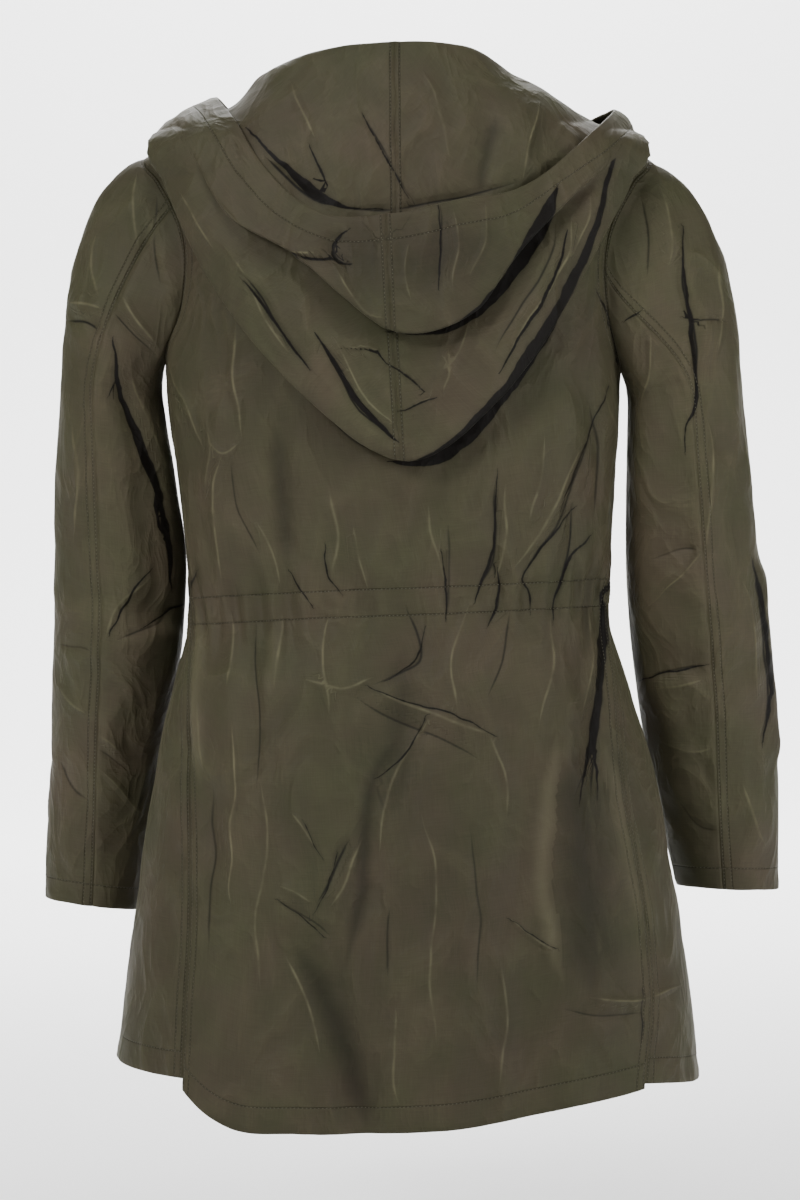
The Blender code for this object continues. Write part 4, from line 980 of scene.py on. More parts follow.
def cloth_material():
    """Crisp two-tone woven cloth: olive with brown and green patches, slubs and a soft sheen, with painted highlights
    and painted shade along its creases and folds, and painted black shadows.
    """
    made, shader, add, link = new_material("olive_cloth")
    place = add("ShaderNodeTexCoord").outputs["Object"]
    cut = add("ShaderNodeAttribute", attribute_name="cut").outputs["Vector"]

    patches = add("ShaderNodeTexNoise", {"Vector": place, "Scale": 13.0, "Detail": 4.0, "Roughness": 0.62})
    tones = add("ShaderNodeValToRGB", {"Fac": patches.outputs["Fac"]})
    tones.color_ramp.elements[0].position = 0.34
    tones.color_ramp.elements[0].color = (0.0425, 0.0345, 0.0212, 1)
    tones.color_ramp.elements[1].position = 0.66
    tones.color_ramp.elements[1].color = (0.0362, 0.0354, 0.0182, 1)
    middle = tones.color_ramp.elements.new(0.50)
    middle.color = (0.0390, 0.0348, 0.0196, 1)

    slub_place = add("ShaderNodeMapping", {"Vector": cut, "Scale": (55.0, 1300.0, 1.0)})
    slubs = add("ShaderNodeTexNoise", {"Vector": slub_place.outputs["Vector"], "Scale": 1.0, "Detail": 2.0})
    warp_place = add("ShaderNodeMapping", {"Vector": cut, "Scale": (1500.0, 40.0, 1.0)})
    warps = add("ShaderNodeTexNoise", {"Vector": warp_place.outputs["Vector"], "Scale": 1.0, "Detail": 2.0})
    weave = add("ShaderNodeMath", {0: slubs.outputs["Fac"], 1: warps.outputs["Fac"]}, operation="ADD")
    weave_tone = add("ShaderNodeMapRange", {"Value": weave.outputs["Value"], "From Min": 0.6, "From Max": 1.4,
                                            "To Min": 0.86, "To Max": 1.16})
    crumple_place = add("ShaderNodeMapping", {"Vector": place, "Rotation": (0.3, 0.5, 0.2),
                                              "Scale": (1.0, 1.0, 0.6)})
    crumple = add("ShaderNodeTexNoise", {"Vector": crumple_place.outputs["Vector"], "Scale": 24.0, "Detail": 3.0,
                                         "Roughness": 0.55, "Lacunarity": 2.1, "Offset": 0.95, "Gain": 1.6,
                                         "Distortion": 0.5}, noise_type="RIDGED_MULTIFRACTAL", normalize=False)
    # Paler on the raised ridges of the crumple bump below: partly wear, partly a painted highlight.
    crumple_wear_and_highlight = add("ShaderNodeMapRange", {"Value": crumple.outputs["Fac"], "From Min": 0.6, "From Max": 2.0,
                                             "To Min": 0.91, "To Max": 1.15})
    plain_tone = add("ShaderNodeMath", {0: crumple_wear_and_highlight.outputs["Result"], 1: weave_tone.outputs["Result"]},
                     operation="MULTIPLY")
    # The tone attribute scales the colour: painted light and painted shade of broad folds and the sleeves, with a few
    # patches of the cloth's own tone.
    tone = add("ShaderNodeMath", {0: add("ShaderNodeAttribute", attribute_name="tone").outputs["Fac"],
                                  1: plain_tone.outputs["Value"]}, operation="MULTIPLY")
    colour = add("ShaderNodeVectorMath", {0: tones.outputs["Color"]}, operation="SCALE")
    link(tone.outputs["Value"], colour.inputs["Scale"])
    # The bend of the creases, read here, is painted into the colour: paler on ridges as wear and a painted highlight,
    # darker in folds as painted shade.
    worn = add("ShaderNodeAttribute", attribute_name="worn").outputs["Fac"]
    away = add("ShaderNodeAttribute", attribute_name="crease_away").outputs["Fac"]
    stands = add("ShaderNodeAttribute", attribute_name="crease_height").outputs["Fac"]
    # Along each crease a thin line is painted: a highlight along a ridge, a shade line along a trough.
    near = add("ShaderNodeMath", {0: away}, operation="ABSOLUTE").outputs["Value"]
    line = add("ShaderNodeMapRange", {"Value": near, "From Max": 1.3, "To Min": 0.34, "To Max": 0.0},
               interpolation_type="SMOOTHSTEP")
    drawn = add("ShaderNodeMath", {0: line.outputs["Result"], 1: stands}, operation="MULTIPLY")
    wear_and_light_marks = add("ShaderNodeMath", {0: worn, 1: WEAR_AND_LIGHT_SHARE, 2: drawn.outputs["Value"]}, operation="MULTIPLY_ADD")
    broken = add("ShaderNodeTexNoise", {"Vector": place, "Scale": 60.0, "Detail": 2.0})
    part = add("ShaderNodeMapRange", {"Value": broken.outputs["Fac"], "From Min": 0.35, "From Max": 0.62,
                                      "To Min": 0.14, "To Max": 0.60})
    # Painted highlight, partly wear: raised ridges and crease lines mixed towards pale yellow-green.
    ridge = add("ShaderNodeMapRange", {"Value": wear_and_light_marks.outputs["Value"], "From Min": 0.04, "From Max": 0.9})
    ridge_wear_and_highlight = add("ShaderNodeMath", {0: ridge.outputs["Result"], 1: part.outputs["Result"]},
                     operation="MULTIPLY")
    # Painted shade: folds and trough lines mixed towards near black.
    fold = add("ShaderNodeMapRange", {"Value": wear_and_light_marks.outputs["Value"], "From Min": -0.04, "From Max": -0.8,
                                      "To Max": 0.95})
    paler = add("ShaderNodeMix", {MIX_FACTOR: ridge_wear_and_highlight.outputs["Value"], MIX_A: colour.outputs["Vector"],
                                  MIX_B: (0.135, 0.125, 0.072, 1)}, data_type="RGBA")
    darker = add("ShaderNodeMix", {MIX_FACTOR: fold.outputs["Result"], MIX_A: paler.outputs[MIX_RESULT],
                                   MIX_B: (0.003, 0.0026, 0.0018, 1)}, data_type="RGBA")
    fold_near = add("ShaderNodeMath", {0: add("ShaderNodeAttribute", attribute_name="fold_away").outputs["Fac"]},
                    operation="ABSOLUTE").outputs["Value"]
    fold_stands = add("ShaderNodeAttribute", attribute_name="fold_height").outputs["Fac"]
    # Painted black shadows of deep folds and under the hood, with a soft painted halo; noise roughens their edges.
    shadow_edge_noise = add("ShaderNodeTexNoise", {"Vector": place, "Scale": 240.0, "Detail": 2.0})
    from_middle = add("ShaderNodeMath", {0: add("ShaderNodeAttribute", attribute_name="shadow_away").outputs["Fac"]},
                      operation="ABSOLUTE")
    half = add("ShaderNodeAttribute", attribute_name="shadow_half").outputs["Fac"]
    from_edge = add("ShaderNodeMath", {0: from_middle.outputs["Value"], 1: half}, operation="SUBTRACT")
    edge = add("ShaderNodeMath", {0: shadow_edge_noise.outputs["Fac"], 1: 1.0, 2: from_edge.outputs["Value"]},
               operation="MULTIPLY_ADD")
    black = add("ShaderNodeMapRange", {"Value": edge.outputs["Value"], "From Min": 0.1, "From Max": 1.0,
                                       "To Min": 1.0, "To Max": 0.0}, interpolation_type="SMOOTHSTEP")
    halo = add("ShaderNodeMapRange", {"Value": edge.outputs["Value"], "From Min": 0.5, "From Max": 3.5,
                                      "To Min": 0.14, "To Max": 0.0}, interpolation_type="SMOOTHERSTEP")
    # Beside wide creases: painted shade along the troughs, painted light along the raised folds.
    spread = add("ShaderNodeMapRange", {"Value": fold_near, "From Max": 5.0, "To Min": 1.0, "To Max": 0.0},
                 interpolation_type="SMOOTHSTEP")
    sunk = add("ShaderNodeMapRange", {"Value": fold_stands, "From Max": -2.5, "To Max": 0.42})
    painted_fold_shade = add("ShaderNodeMath", {0: spread.outputs["Result"], 1: sunk.outputs["Result"]},
                    operation="MULTIPLY")
    soft_shade = add("ShaderNodeMath", {0: halo.outputs["Result"], 1: painted_fold_shade.outputs["Value"]},
                     operation="MAXIMUM")
    shadow = add("ShaderNodeMath", {0: black.outputs["Result"], 1: soft_shade.outputs["Value"]},
                 operation="MAXIMUM")
    lifted = add("ShaderNodeMapRange", {"Value": fold_stands, "From Max": 2.5, "To Max": 0.30})
    painted_fold_light = add("ShaderNodeMath", {0: spread.outputs["Result"], 1: lifted.outputs["Result"]},
                    operation="MULTIPLY")

    grooves = None
    for name, rows in (("seam_away", DOUBLE_ROWS), ("row_away", (0.0,))):
        distance = add("ShaderNodeAttribute", attribute_name=name).outputs["Fac"]
        for row in rows:
            off = add("ShaderNodeMath", {0: distance, 1: row}, operation="SUBTRACT")
            size = add("ShaderNodeMath", {0: off.outputs["Value"]}, operation="ABSOLUTE")
            groove = add("ShaderNodeMapRange", {"Value": size.outputs["Value"], "From Max": 1.0, "To Min": 1.0,
                                                "To Max": 0.0}, interpolation_type="SMOOTHSTEP")
            if grooves is None:
                grooves = groove.outputs["Result"]
            else:
                grooves = add("ShaderNodeMath", {0: grooves, 1: groove.outputs["Result"]},
                              operation="MAXIMUM").outputs["Value"]
    # Painted shade in the grooves of the stitch rows, mixed towards near black.
    painted_groove_shade = add("ShaderNodeMath", {0: grooves, 1: 0.28}, operation="MULTIPLY")
    stitched = add("ShaderNodeMix", {MIX_FACTOR: painted_groove_shade.outputs["Value"],
                                     MIX_A: darker.outputs[MIX_RESULT],
                                     MIX_B: (0.003, 0.0026, 0.0018, 1)}, data_type="RGBA")
    # Painted light along wide raised folds, mixed towards pale olive.
    with_painted_fold_light = add("ShaderNodeMix", {MIX_FACTOR: painted_fold_light.outputs["Value"], MIX_A: stitched.outputs[MIX_RESULT],
                                     MIX_B: (0.110, 0.100, 0.060, 1)}, data_type="RGBA")
    shaded = add("ShaderNodeMix", {MIX_FACTOR: shadow.outputs["Value"], MIX_A: with_painted_fold_light.outputs[MIX_RESULT],
                                   MIX_B: (0.0022, 0.0014, 0.0006, 1)}, data_type="RGBA")
    link(shaded.outputs[MIX_RESULT], shader.inputs["Base Color"])

    crisp = add("ShaderNodeMapRange", {"Value": near, "From Max": 4.0, "To Min": 1.0, "To Max": 0.0})
    pressed = add("ShaderNodeMath", {0: crisp.outputs["Result"], 1: stands}, operation="MULTIPLY")
    seams_in = add("ShaderNodeMath", {0: grooves, 1: -1.0, 2: pressed.outputs["Value"]},
                   operation="MULTIPLY_ADD")
    line_bump = add("ShaderNodeBump", {"Height": seams_in.outputs["Value"], "Strength": 0.8, "Distance": 0.0006})
    sway = add("ShaderNodeTexNoise", {"Vector": place, "Scale": 22.0, "Detail": 1.0})
    bent = add("ShaderNodeVectorMath", {0: sway.outputs["Color"], 1: (0.022, 0.022, 0.022), 2: place},
               operation="MULTIPLY_ADD")
    turned = add("ShaderNodeMapping", {"Vector": bent.outputs["Vector"], "Rotation": (0.6, 0.9, 0.4)})
    large = add("ShaderNodeTexVoronoi", {"Vector": turned.outputs["Vector"], "Scale": 24.0}, distance="MANHATTAN")
    small = add("ShaderNodeTexVoronoi", {"Vector": bent.outputs["Vector"], "Scale": 62.0}, distance="CHEBYCHEV")
    where = add("ShaderNodeTexNoise", {"Vector": place, "Scale": 13.0})
    often = add("ShaderNodeMapRange", {"Value": where.outputs["Fac"], "From Min": 0.38, "From Max": 0.66})
    small_part = add("ShaderNodeMath", {0: small.outputs["Distance"], 1: often.outputs["Result"]},
                     operation="MULTIPLY")
    crumple_bump = add("ShaderNodeBump", {"Height": crumple.outputs["Fac"], "Strength": 0.8, "Distance": 0.0019,
                                          "Normal": line_bump.outputs["Normal"]})
    large_bump = add("ShaderNodeBump", {"Height": large.outputs["Distance"], "Strength": 0.8, "Distance": 0.0014,
                                        "Normal": crumple_bump.outputs["Normal"]})
    small_bump = add("ShaderNodeBump", {"Height": small_part.outputs["Value"], "Strength": 0.8,
                                        "Distance": 0.0010, "Normal": large_bump.outputs["Normal"]})
    weave_bump = add("ShaderNodeBump", {"Height": weave.outputs["Value"], "Strength": 0.25, "Distance": 0.0002,
                                        "Normal": small_bump.outputs["Normal"]})
    link(weave_bump.outputs["Normal"], shader.inputs["Normal"])

    rough = add("ShaderNodeMapRange", {"Value": patches.outputs["Fac"], "To Min": 0.58, "To Max": 0.70})
    link(rough.outputs["Result"], shader.inputs["Roughness"])
    shader.inputs["Specular IOR Level"].default_value = 0.13
    shader.inputs["Sheen Weight"].default_value = 0.05
    shader.inputs["Sheen Roughness"].default_value = 0.35
    shader.inputs["Sheen Tint"].default_value = (0.78, 0.72, 0.46, 1)
    return made


def thread_material():
    """Twisted sewing thread, a little paler than the cloth."""
    made, shader, add, link = new_material("olive_thread")
    place = add("ShaderNodeTexCoord").outputs["Object"]
    twist = add("ShaderNodeTexWave", {"Vector": place, "Scale": 900.0}, bands_direction="DIAGONAL")
    tone = add("ShaderNodeValToRGB", {"Fac": twist.outputs["Fac"]})
    tone.color_ramp.elements[0].color = (0.030, 0.027, 0.014, 1)
    tone.color_ramp.elements[1].color = (0.062, 0.056, 0.030, 1)
    link(tone.outputs["Color"], shader.inputs["Base Color"])
    shader.inputs["Roughness"].default_value = 0.6
    return made


def tape_material():
    """Ribbed woven zip tape and casing strip."""
    made, shader, add, link = new_material("olive_tape")
    place = add("ShaderNodeTexCoord").outputs["Object"]
    ribs = add("ShaderNodeTexWave", {"Vector": place, "Scale": 420.0, "Distortion": 0.6}, bands_direction="Z")
    tone = add("ShaderNodeValToRGB", {"Fac": ribs.outputs["Fac"]})
    tone.color_ramp.elements[0].color = (0.040, 0.037, 0.026, 1)
    tone.color_ramp.elements[1].color = (0.058, 0.053, 0.038, 1)
    link(tone.outputs["Color"], shader.inputs["Base Color"])
    bump = add("ShaderNodeBump", {"Height": ribs.outputs["Fac"], "Strength": 0.4, "Distance": 0.0003})
    link(bump.outputs["Normal"], shader.inputs["Normal"])
    shader.inputs["Roughness"].default_value = 0.75
    return made


def metal_material():
    """Dark antique brass with scuffed, brighter patches."""
    made, shader, add, link = new_material("antique_brass")
    place = add("ShaderNodeTexCoord").outputs["Object"]
    wear = add("ShaderNodeTexNoise", {"Vector": place, "Scale": 420.0, "Detail": 4.0})
    tone = add("ShaderNodeValToRGB", {"Fac": wear.outputs["Fac"]})
    tone.color_ramp.elements[0].position = 0.35
    tone.color_ramp.elements[0].color = (0.110, 0.090, 0.060, 1)
    tone.color_ramp.elements[1].position = 0.70
    tone.color_ramp.elements[1].color = (0.300, 0.250, 0.160, 1)
    link(tone.outputs["Color"], shader.inputs["Base Color"])
    rough = add("ShaderNodeMapRange", {"Value": wear.outputs["Fac"], "To Min": 0.28, "To Max": 0.48})
    link(rough.outputs["Result"], shader.inputs["Roughness"])
    shader.inputs["Metallic"].default_value = 0.9
    return made


CLOTH = cloth_material()
THREAD = thread_material()
TAPE = tape_material()
METAL = metal_material()


# ---- body -------------------------------------------------------------------
def spaced_levels():
    """Shares of the way from the hem up to the neck, closer together at the armhole's ends."""
    span = 780.0
    marks = [0.0]
    while marks[-1] < span:
        level = marks[-1] - span
        near = min(abs(level - SHOULDER_TIP), abs(level - ARMPIT["left"]), abs(level - ARMPIT["right"]))
        marks.append(marks[-1] + GRID * (0.35 + 0.65 * min(1.0, near / 10.0)))
    return np.array(marks) / marks[-1]


def gather_wave(share, gathers, start, fade_from):
    """Height of the gathers across a panel, fading where the zip holds the cloth flat."""
    fade = np.clip((1 - share) / (1 - fade_from), 0, 1) if fade_from < 1 else 1.0
    return np.cos(2 * pi * (gathers * share + start)) * fade


def body_grid(edge_from, edge_to, hem, gathers, start, columns, fade_from=1.0):
    """Grid of a body panel between two edge functions of the level."""
    share = np.linspace(0, 1, columns + 1)[None, :]
    ends = smooth([row[0] for row in hem], [row[1] for row in hem], share)
    levels = ends * (1 - spaced_levels()[:, None])
    low, high = edge_from(levels), edge_to(levels)
    theta = low + (high - low) * share
    points = body_surface(theta, levels, gather_wave(share, gathers, start, fade_from))
    reach = levels - waist_level(theta)
    return points, reach


def waist_relief(points, reach):
    """Tight small gathers at the casing, its two stitched grooves and the ridge between them."""
    tight = noise(points * np.array([1.0, 1.0, 0.16]), 5.5, 61)
    loose = noise(points * np.array([1.0, 1.0, 0.10]), 12.0, 62)
    drawn = 0.7 - 0.5 * points[..., 0] / 170.0
    out = drawn * (0.7 * tight * np.exp(-(reach / 17.0) ** 2) + 1.3 * loose * np.exp(-(reach / 42.0) ** 2))
    for line in (-0.5, 0.5):
        out -= 0.4 * np.exp(-((reach - line * CASING_WIDTH) / 2.6) ** 2)
    return out + 0.3 * np.exp(-(reach / 7.0) ** 2)


def build_body():
    """Back and two fronts with turned-up hems, their stitching, and the casing inside the waist."""
    def left_seam(panel_name):
        return lambda level: seam_angle("left", level, panel_name)

    def right_seam(panel_name):
        turn = pi if panel_name == "back" else -pi
        return lambda level: turn - seam_angle("right", level, panel_name)

    def zip_edge(x):
        return lambda level: angle_at_width(level, x)

    plans = {
        "back": (left_seam("back"), right_seam("back"), BACK_HEM, GATHERS_BACK, 0.25, 148, 1.0),
        "front_left": (left_seam("front"), zip_edge(ZIP_HALF), FRONT_HEM["left"], GATHERS_FRONT, -0.25, 84,
                       GATHER_FADE),
        "front_right": (right_seam("front"), zip_edge(-ZIP_HALF), FRONT_HEM["right"], GATHERS_FRONT, -0.25, 84,
                        GATHER_FADE),
    }
    bands = {}
    inset = WALL + SEAM
    for name, (low, high, hem, gathers, start, columns, fade) in plans.items():
        points, reach = body_grid(low, high, hem, gathers, start, columns, fade)
        axis_out = points * np.array([1.0, 1.0, 0.0])
        normals = grid_normals(points, axis_out)
        quiet = np.clip(-points[..., 2] / 40.0, 0, 1) * seam_fade(points, ("first column", "last column"))
        zip_away = (np.abs(points[..., 0]) - ZIP_HALF) / ZIP_CALM
        quiet = quiet * np.where(points[..., 1] < 0, np.clip(zip_away, 0, 1), 1)
        behind = np.clip(1.6 * normals[..., 1], 0, 1)
        ahead = np.clip(-1.6 * normals[..., 1], 0, 1)
        back_heights, back_marks = creases(points, ("back", "skirt"))
        front_heights, front_marks = front_creases(points)
        under_hood = np.abs(points[..., 0]) / 175.0 - points[..., 2] / 280.0
        covered = np.clip((under_hood - 0.85) / 0.25, 0.25, 1)
        height = crinkle(points) * covered + waist_relief(points, reach) + behind * back_heights + ahead * front_heights
        height = height * quiet
        marks = {"worn": worn_ridges(points, height) * quiet,
                 "seam_away": away_from(points, ("first column", "last column")),
                 "row_away": np.minimum(away_from(points, ("first row",)) - HEM_ROW,
                                        np.abs(reach) - 0.5 * CASING_WIDTH)}
        for kind in ("crease", "fold"):
            marks[kind + "_away"] = np.where(points[..., 1] > 0, back_marks[kind + "_away"],
                                             front_marks[kind + "_away"])
            marks[kind + "_height"] = quiet * (behind * back_marks[kind + "_height"]
                                               + ahead * front_marks[kind + "_height"])
        for key, values in shadows(points, ("back",)).items():
            marks[key] = np.where(points[..., 1] > 0, values, dict(MARKS)[key])
        height += seam_relief(points, ("first column", "last column", "first row"))
        points = points + normals * height[..., None]
        normals = grid_normals(points, axis_out)
        obj = cloth_piece(name + "_cloth", turn_under(points, normals), CLOTH, marks)
        stand_in(name)
        lines = [inset_line(points, normals, "first row", HEM_ROW)]
        for distance in DOUBLE_ROWS:
            lines.append(inset_line(points, normals, "first column", distance))
        if name != "back":
            lines.append(inset_line(points, normals, "last column", DOUBLE_ROWS[1]))
            lines.append(inset_line(points, normals, "last column", DOUBLE_ROWS[0]))
        else:
            for distance in DOUBLE_ROWS:
                lines.append(inset_line(points, normals, "last column", distance))
        for line in (-0.5, 0.5):
            lines.append(level_line(points, normals, reach, line * CASING_WIDTH))
        stitch_piece(name + "_stitches", lines, THREAD)
        bands[name] = np.stack([level_line(points - normals * inset, normals, reach, up)[0]
                                for up in np.linspace(-0.5, 0.5, 8) * CASING_WIDTH])
    band = np.concatenate([bands["front_left"][:, ::-1], bands["back"][:, 1:-1], bands["front_right"]], 1)
    keep = (np.abs(band[0, :, 0]) > TAPE_HALF + 3.0) | (band[0, :, 1] > 0)
    casing = cloth_piece("waist_casing_cloth", band[:, keep], TAPE)
    stand_in("waist_casing")


def level_line(points, normals, reach, wanted):
    """The line across a body panel at a height from the middle of the waist."""
    line, ups = [], []
    for column in range(points.shape[1]):
        line.append([np.interp(wanted, reach[:, column], points[:, column, axis]) for axis in range(3)])
        ups.append([np.interp(wanted, reach[:, column], normals[:, column, axis]) for axis in range(3)])
    return np.array(line), unit(np.array(ups))


# ---- sleeves ----------------------------------------------------------------
def sleeve_size(side, name, level):
    """A named size of the sleeve's section at a level."""
    rows = SLEEVE_ROWS[side][::-1]
    place = SLEEVE.index(name)
    return smooth([row[0] for row in rows], [row[place] for row in rows], level)


def sleeve_tube(side, angle, level):
    """Points of the sleeve below its cap, at an angle from the outer side to the back."""
    outer, inner = sleeve_size(side, "outer", level), sleeve_size(side, "inner", level)
    depth = sleeve_size(side, "depth", level)
    cos, sin = np.cos(angle), np.sin(angle)
    half = 0.5 * (outer - inner)
    push = np.zeros_like(half * cos)
    for fold_side, a0, z0, a1, z1, width, height in SLEEVE_FOLD_ROWS:
        if fold_side == side:
            around = np.degrees(angle) % 360
            away, _ = distance_to_line(around * 0.8, level, (a0 * 0.8, z0), (a1 * 0.8, z1))
            push = push + height * np.exp(-(away / width) ** 2)
    x = 0.5 * (outer + inner) + (half + push) * cos
    y = sleeve_size(side, "y", level) + (depth + push) * sin
    z = level - sleeve_size(side, "tilt", level) * 0.5 * (1 - cos)
    if side == "left":
        x = x - TOUCH * np.clip(-cos, 0, 1) ** 2 * np.exp(-((level - TOUCH_LEVEL) / TOUCH_REACH) ** 2)
    return np.stack([x if side == "left" else -x, y, z], -1)


def armhole_points(side, angle):
    """Points of the armhole, from the shoulder tip (0) over the back, and outward normals."""
    bottom = ARMPIT[side]
    middle, reach = 0.5 * (SHOULDER_TIP + bottom), 0.5 * (SHOULDER_TIP - bottom)
    level = middle + reach * np.cos(angle)
    half = np.where(np.sin(angle) >= 0, ARMHOLE_BACK, ARMHOLE_FRONT)
    seam = body_size("seam_l" if side == "left" else "seam_r", level)
    theta = angle_at_depth(level, seam + half * np.sin(angle))
    if side == "right":
        theta = pi - theta
    nudge = 0.01
    across = body_surface(theta + nudge, level) - body_surface(theta - nudge, level)
    above = body_surface(theta, level + 1.0) - body_surface(theta, level - 1.0)
    return body_surface(theta, level), unit(np.cross(across, above))


def sleeve_surface(side, angle, share):
    """Points of the sleeve at an angle round it and a share of the way down: cap, then tube."""
    start, normal = armhole_points(side, angle)
    start = start + normal * ARMHOLE_LIFT
    end = sleeve_tube(side, angle, np.full_like(angle, SLEEVE_CAP_END))
    below = sleeve_tube(side, angle, np.full_like(angle, SLEEVE_CAP_END - 4.0))
    down = unit(below - end)
    span = np.linalg.norm(end - start, axis=-1, keepdims=True)
    upness = np.maximum(0.0, np.cos(angle))[..., None]
    outward = np.array([1.0 if side == "left" else -1.0, 0.0, 0.0])
    leave = unit(outward * (0.25 + 0.75 * upness) + np.array([0, 0, -1.0]) * (0.35 + 0.4 * (1 - upness)))
    cap_share = SEAM_PLACES[1]
    t = np.clip(share / cap_share, 0, 1)[..., None]
    rise = t * t * (3 - 2 * t)
    cap = (1 - rise) * start + rise * end + span * (t * (1 - t) ** 2 * leave - t * t * (1 - t) * down)
    low = SLEEVE_ROWS[side][-1][0]
    level = SLEEVE_CAP_END + (low - SLEEVE_CAP_END) * (share - cap_share) / (1 - cap_share)
    tube = sleeve_tube(side, angle, np.minimum(level, SLEEVE_CAP_END))
    return np.where((share <= cap_share)[..., None], cap, tube)


def build_sleeves():
    """Each sleeve in an outer and an under panel, with its cuff and double-stitched seams."""
    rows = 235
    for side in ("left", "right"):
        share = np.linspace(0, 1, rows)[:, None]
        back = smooth(SEAM_PLACES, BACK_SEAM[side], share)
        front = smooth(SEAM_PLACES, FRONT_SEAM, share)
        for which, columns in (("outer", 72), ("under", 54)):
            across = np.linspace(0, 1, columns + 1)[None, :]
            if which == "outer":
                angle = front - 360 + (back - front + 360) * across
            else:
                angle = back + (front - back) * across
            angle = np.radians(angle)
            points = sleeve_surface(side, angle, np.broadcast_to(share, angle.shape))
            sign = 1.0 if side == "left" else -1.0
            outward = np.stack([sign * np.cos(angle), np.sin(angle), 0 * angle], -1)
            normals = grid_normals(points, outward)
            inner = np.clip(-np.cos(angle), 0, 1)
            quiet = seam_fade(points, ("first column", "last column", "first row")) * (1 - 0.6 * inner)
            behind = np.clip(1.6 * normals[..., 1], 0, 1)
            heights, found = creases(points, (f"sleeve_{side}",))
            height = (1.1 * crinkle(points) + behind * heights) * quiet
            full = np.full(height.shape, FAR)
            marks = {"worn": worn_ridges(points, height) * quiet,
                     "crease_away": found["crease_away"], "fold_away": found["fold_away"],
                     "crease_height": behind * quiet * found["crease_height"],
                     "fold_height": behind * quiet * found["fold_height"],
                     "seam_away": away_from(points, ("last column",)) if which == "outer" else full,
                     "row_away": np.minimum(away_from(points, ("last row",)) - CUFF_ROW,
                                            away_from(points, ("first row",)) - ARMHOLE_ROW)}
            for key, values in shadows(points, (f"sleeve_{side}",)).items():
                marks[key] = np.where(normals[..., 1] > 0, values, dict(MARKS)[key])
            height += seam_relief(points, ("first column", "last column", "first row", "last row"))
            points = points + normals * height[..., None]
            normals = grid_normals(points, outward)
            name = f"sleeve_{side}_{which}"
            turned = turn_under(points[::-1], normals[::-1], 18.0)
            obj = cloth_piece(name + "_cloth", turned, CLOTH, upended(marks))
            stand_in(name)
            lines = [inset_line(points, normals, "last row", CUFF_ROW),
                     inset_line(points, normals, "first row", ARMHOLE_ROW)]
            if which == "outer":
                for distance in DOUBLE_ROWS:
                    lines.append(inset_line(points, normals, "last column", distance))
            stitch_piece(name + "_stitches", lines, THREAD)


# ---- hood -------------------------------------------------------------------
def body_skin():
    """Points and outward normals over the top of the body, and a tree to find them by place."""
    theta = np.linspace(-pi, pi, SKIN_COLUMNS, endpoint=False)[None, :]
    level = np.linspace(0, SKIN_DEPTH, SKIN_ROWS)[:, None]
    step = 0.01
    points = body_surface(theta, level)
    across = body_surface(theta + step, level) - body_surface(theta - step, level)
    upward = body_surface(theta, level + step) - body_surface(theta, level - 1.0)
    normals = np.cross(across, upward).reshape(-1, 3)
    normals /= np.linalg.norm(normals, axis=-1, keepdims=True)
    points = points.reshape(-1, 3)
    tree = KDTree(len(points))
    for index, point in enumerate(points):
        tree.insert(point, index)
    tree.balance()
    return points, normals, tree


def lift_off_body(points, margins, skin):
    """Move points that come closer to the body than their margins out along its normals."""
    near, normals, tree = skin
    index = np.array([tree.find(point)[1] for point in points.reshape(-1, 3)])
    normal = normals[index].reshape(points.shape)
    height = np.sum((points - near[index].reshape(points.shape)) * normal, -1)
    return points + normal * np.clip(margins - height, 0, HOOD_LIFT_LIMIT)[..., None]


def hood_column(share, downs, skin):
    """One line of the hood from the neck seam (0) over the rows of HOOD_ROWS to the brim."""
    angle = np.radians(smooth(HOOD_STATIONS, HOOD_NECK_ANGLES, share))
    neck = body_surface(angle, 0.0) + np.array([0, 0, NECK_LIFT])
    lines = [neck] + [smooth(HOOD_STATIONS, row, np.array([share]))[0] for _, row in HOOD_ROWS]
    points = smooth(np.arange(len(lines)), np.array(lines), downs)
    lower = HOOD_ON_BODY * np.clip(downs / 0.5, 0, 1)
    upper = HOOD_LAYERS * np.clip((downs - 3.0) / 0.5, 0, 1)
    return lift_off_body(points, lower + upper, skin)


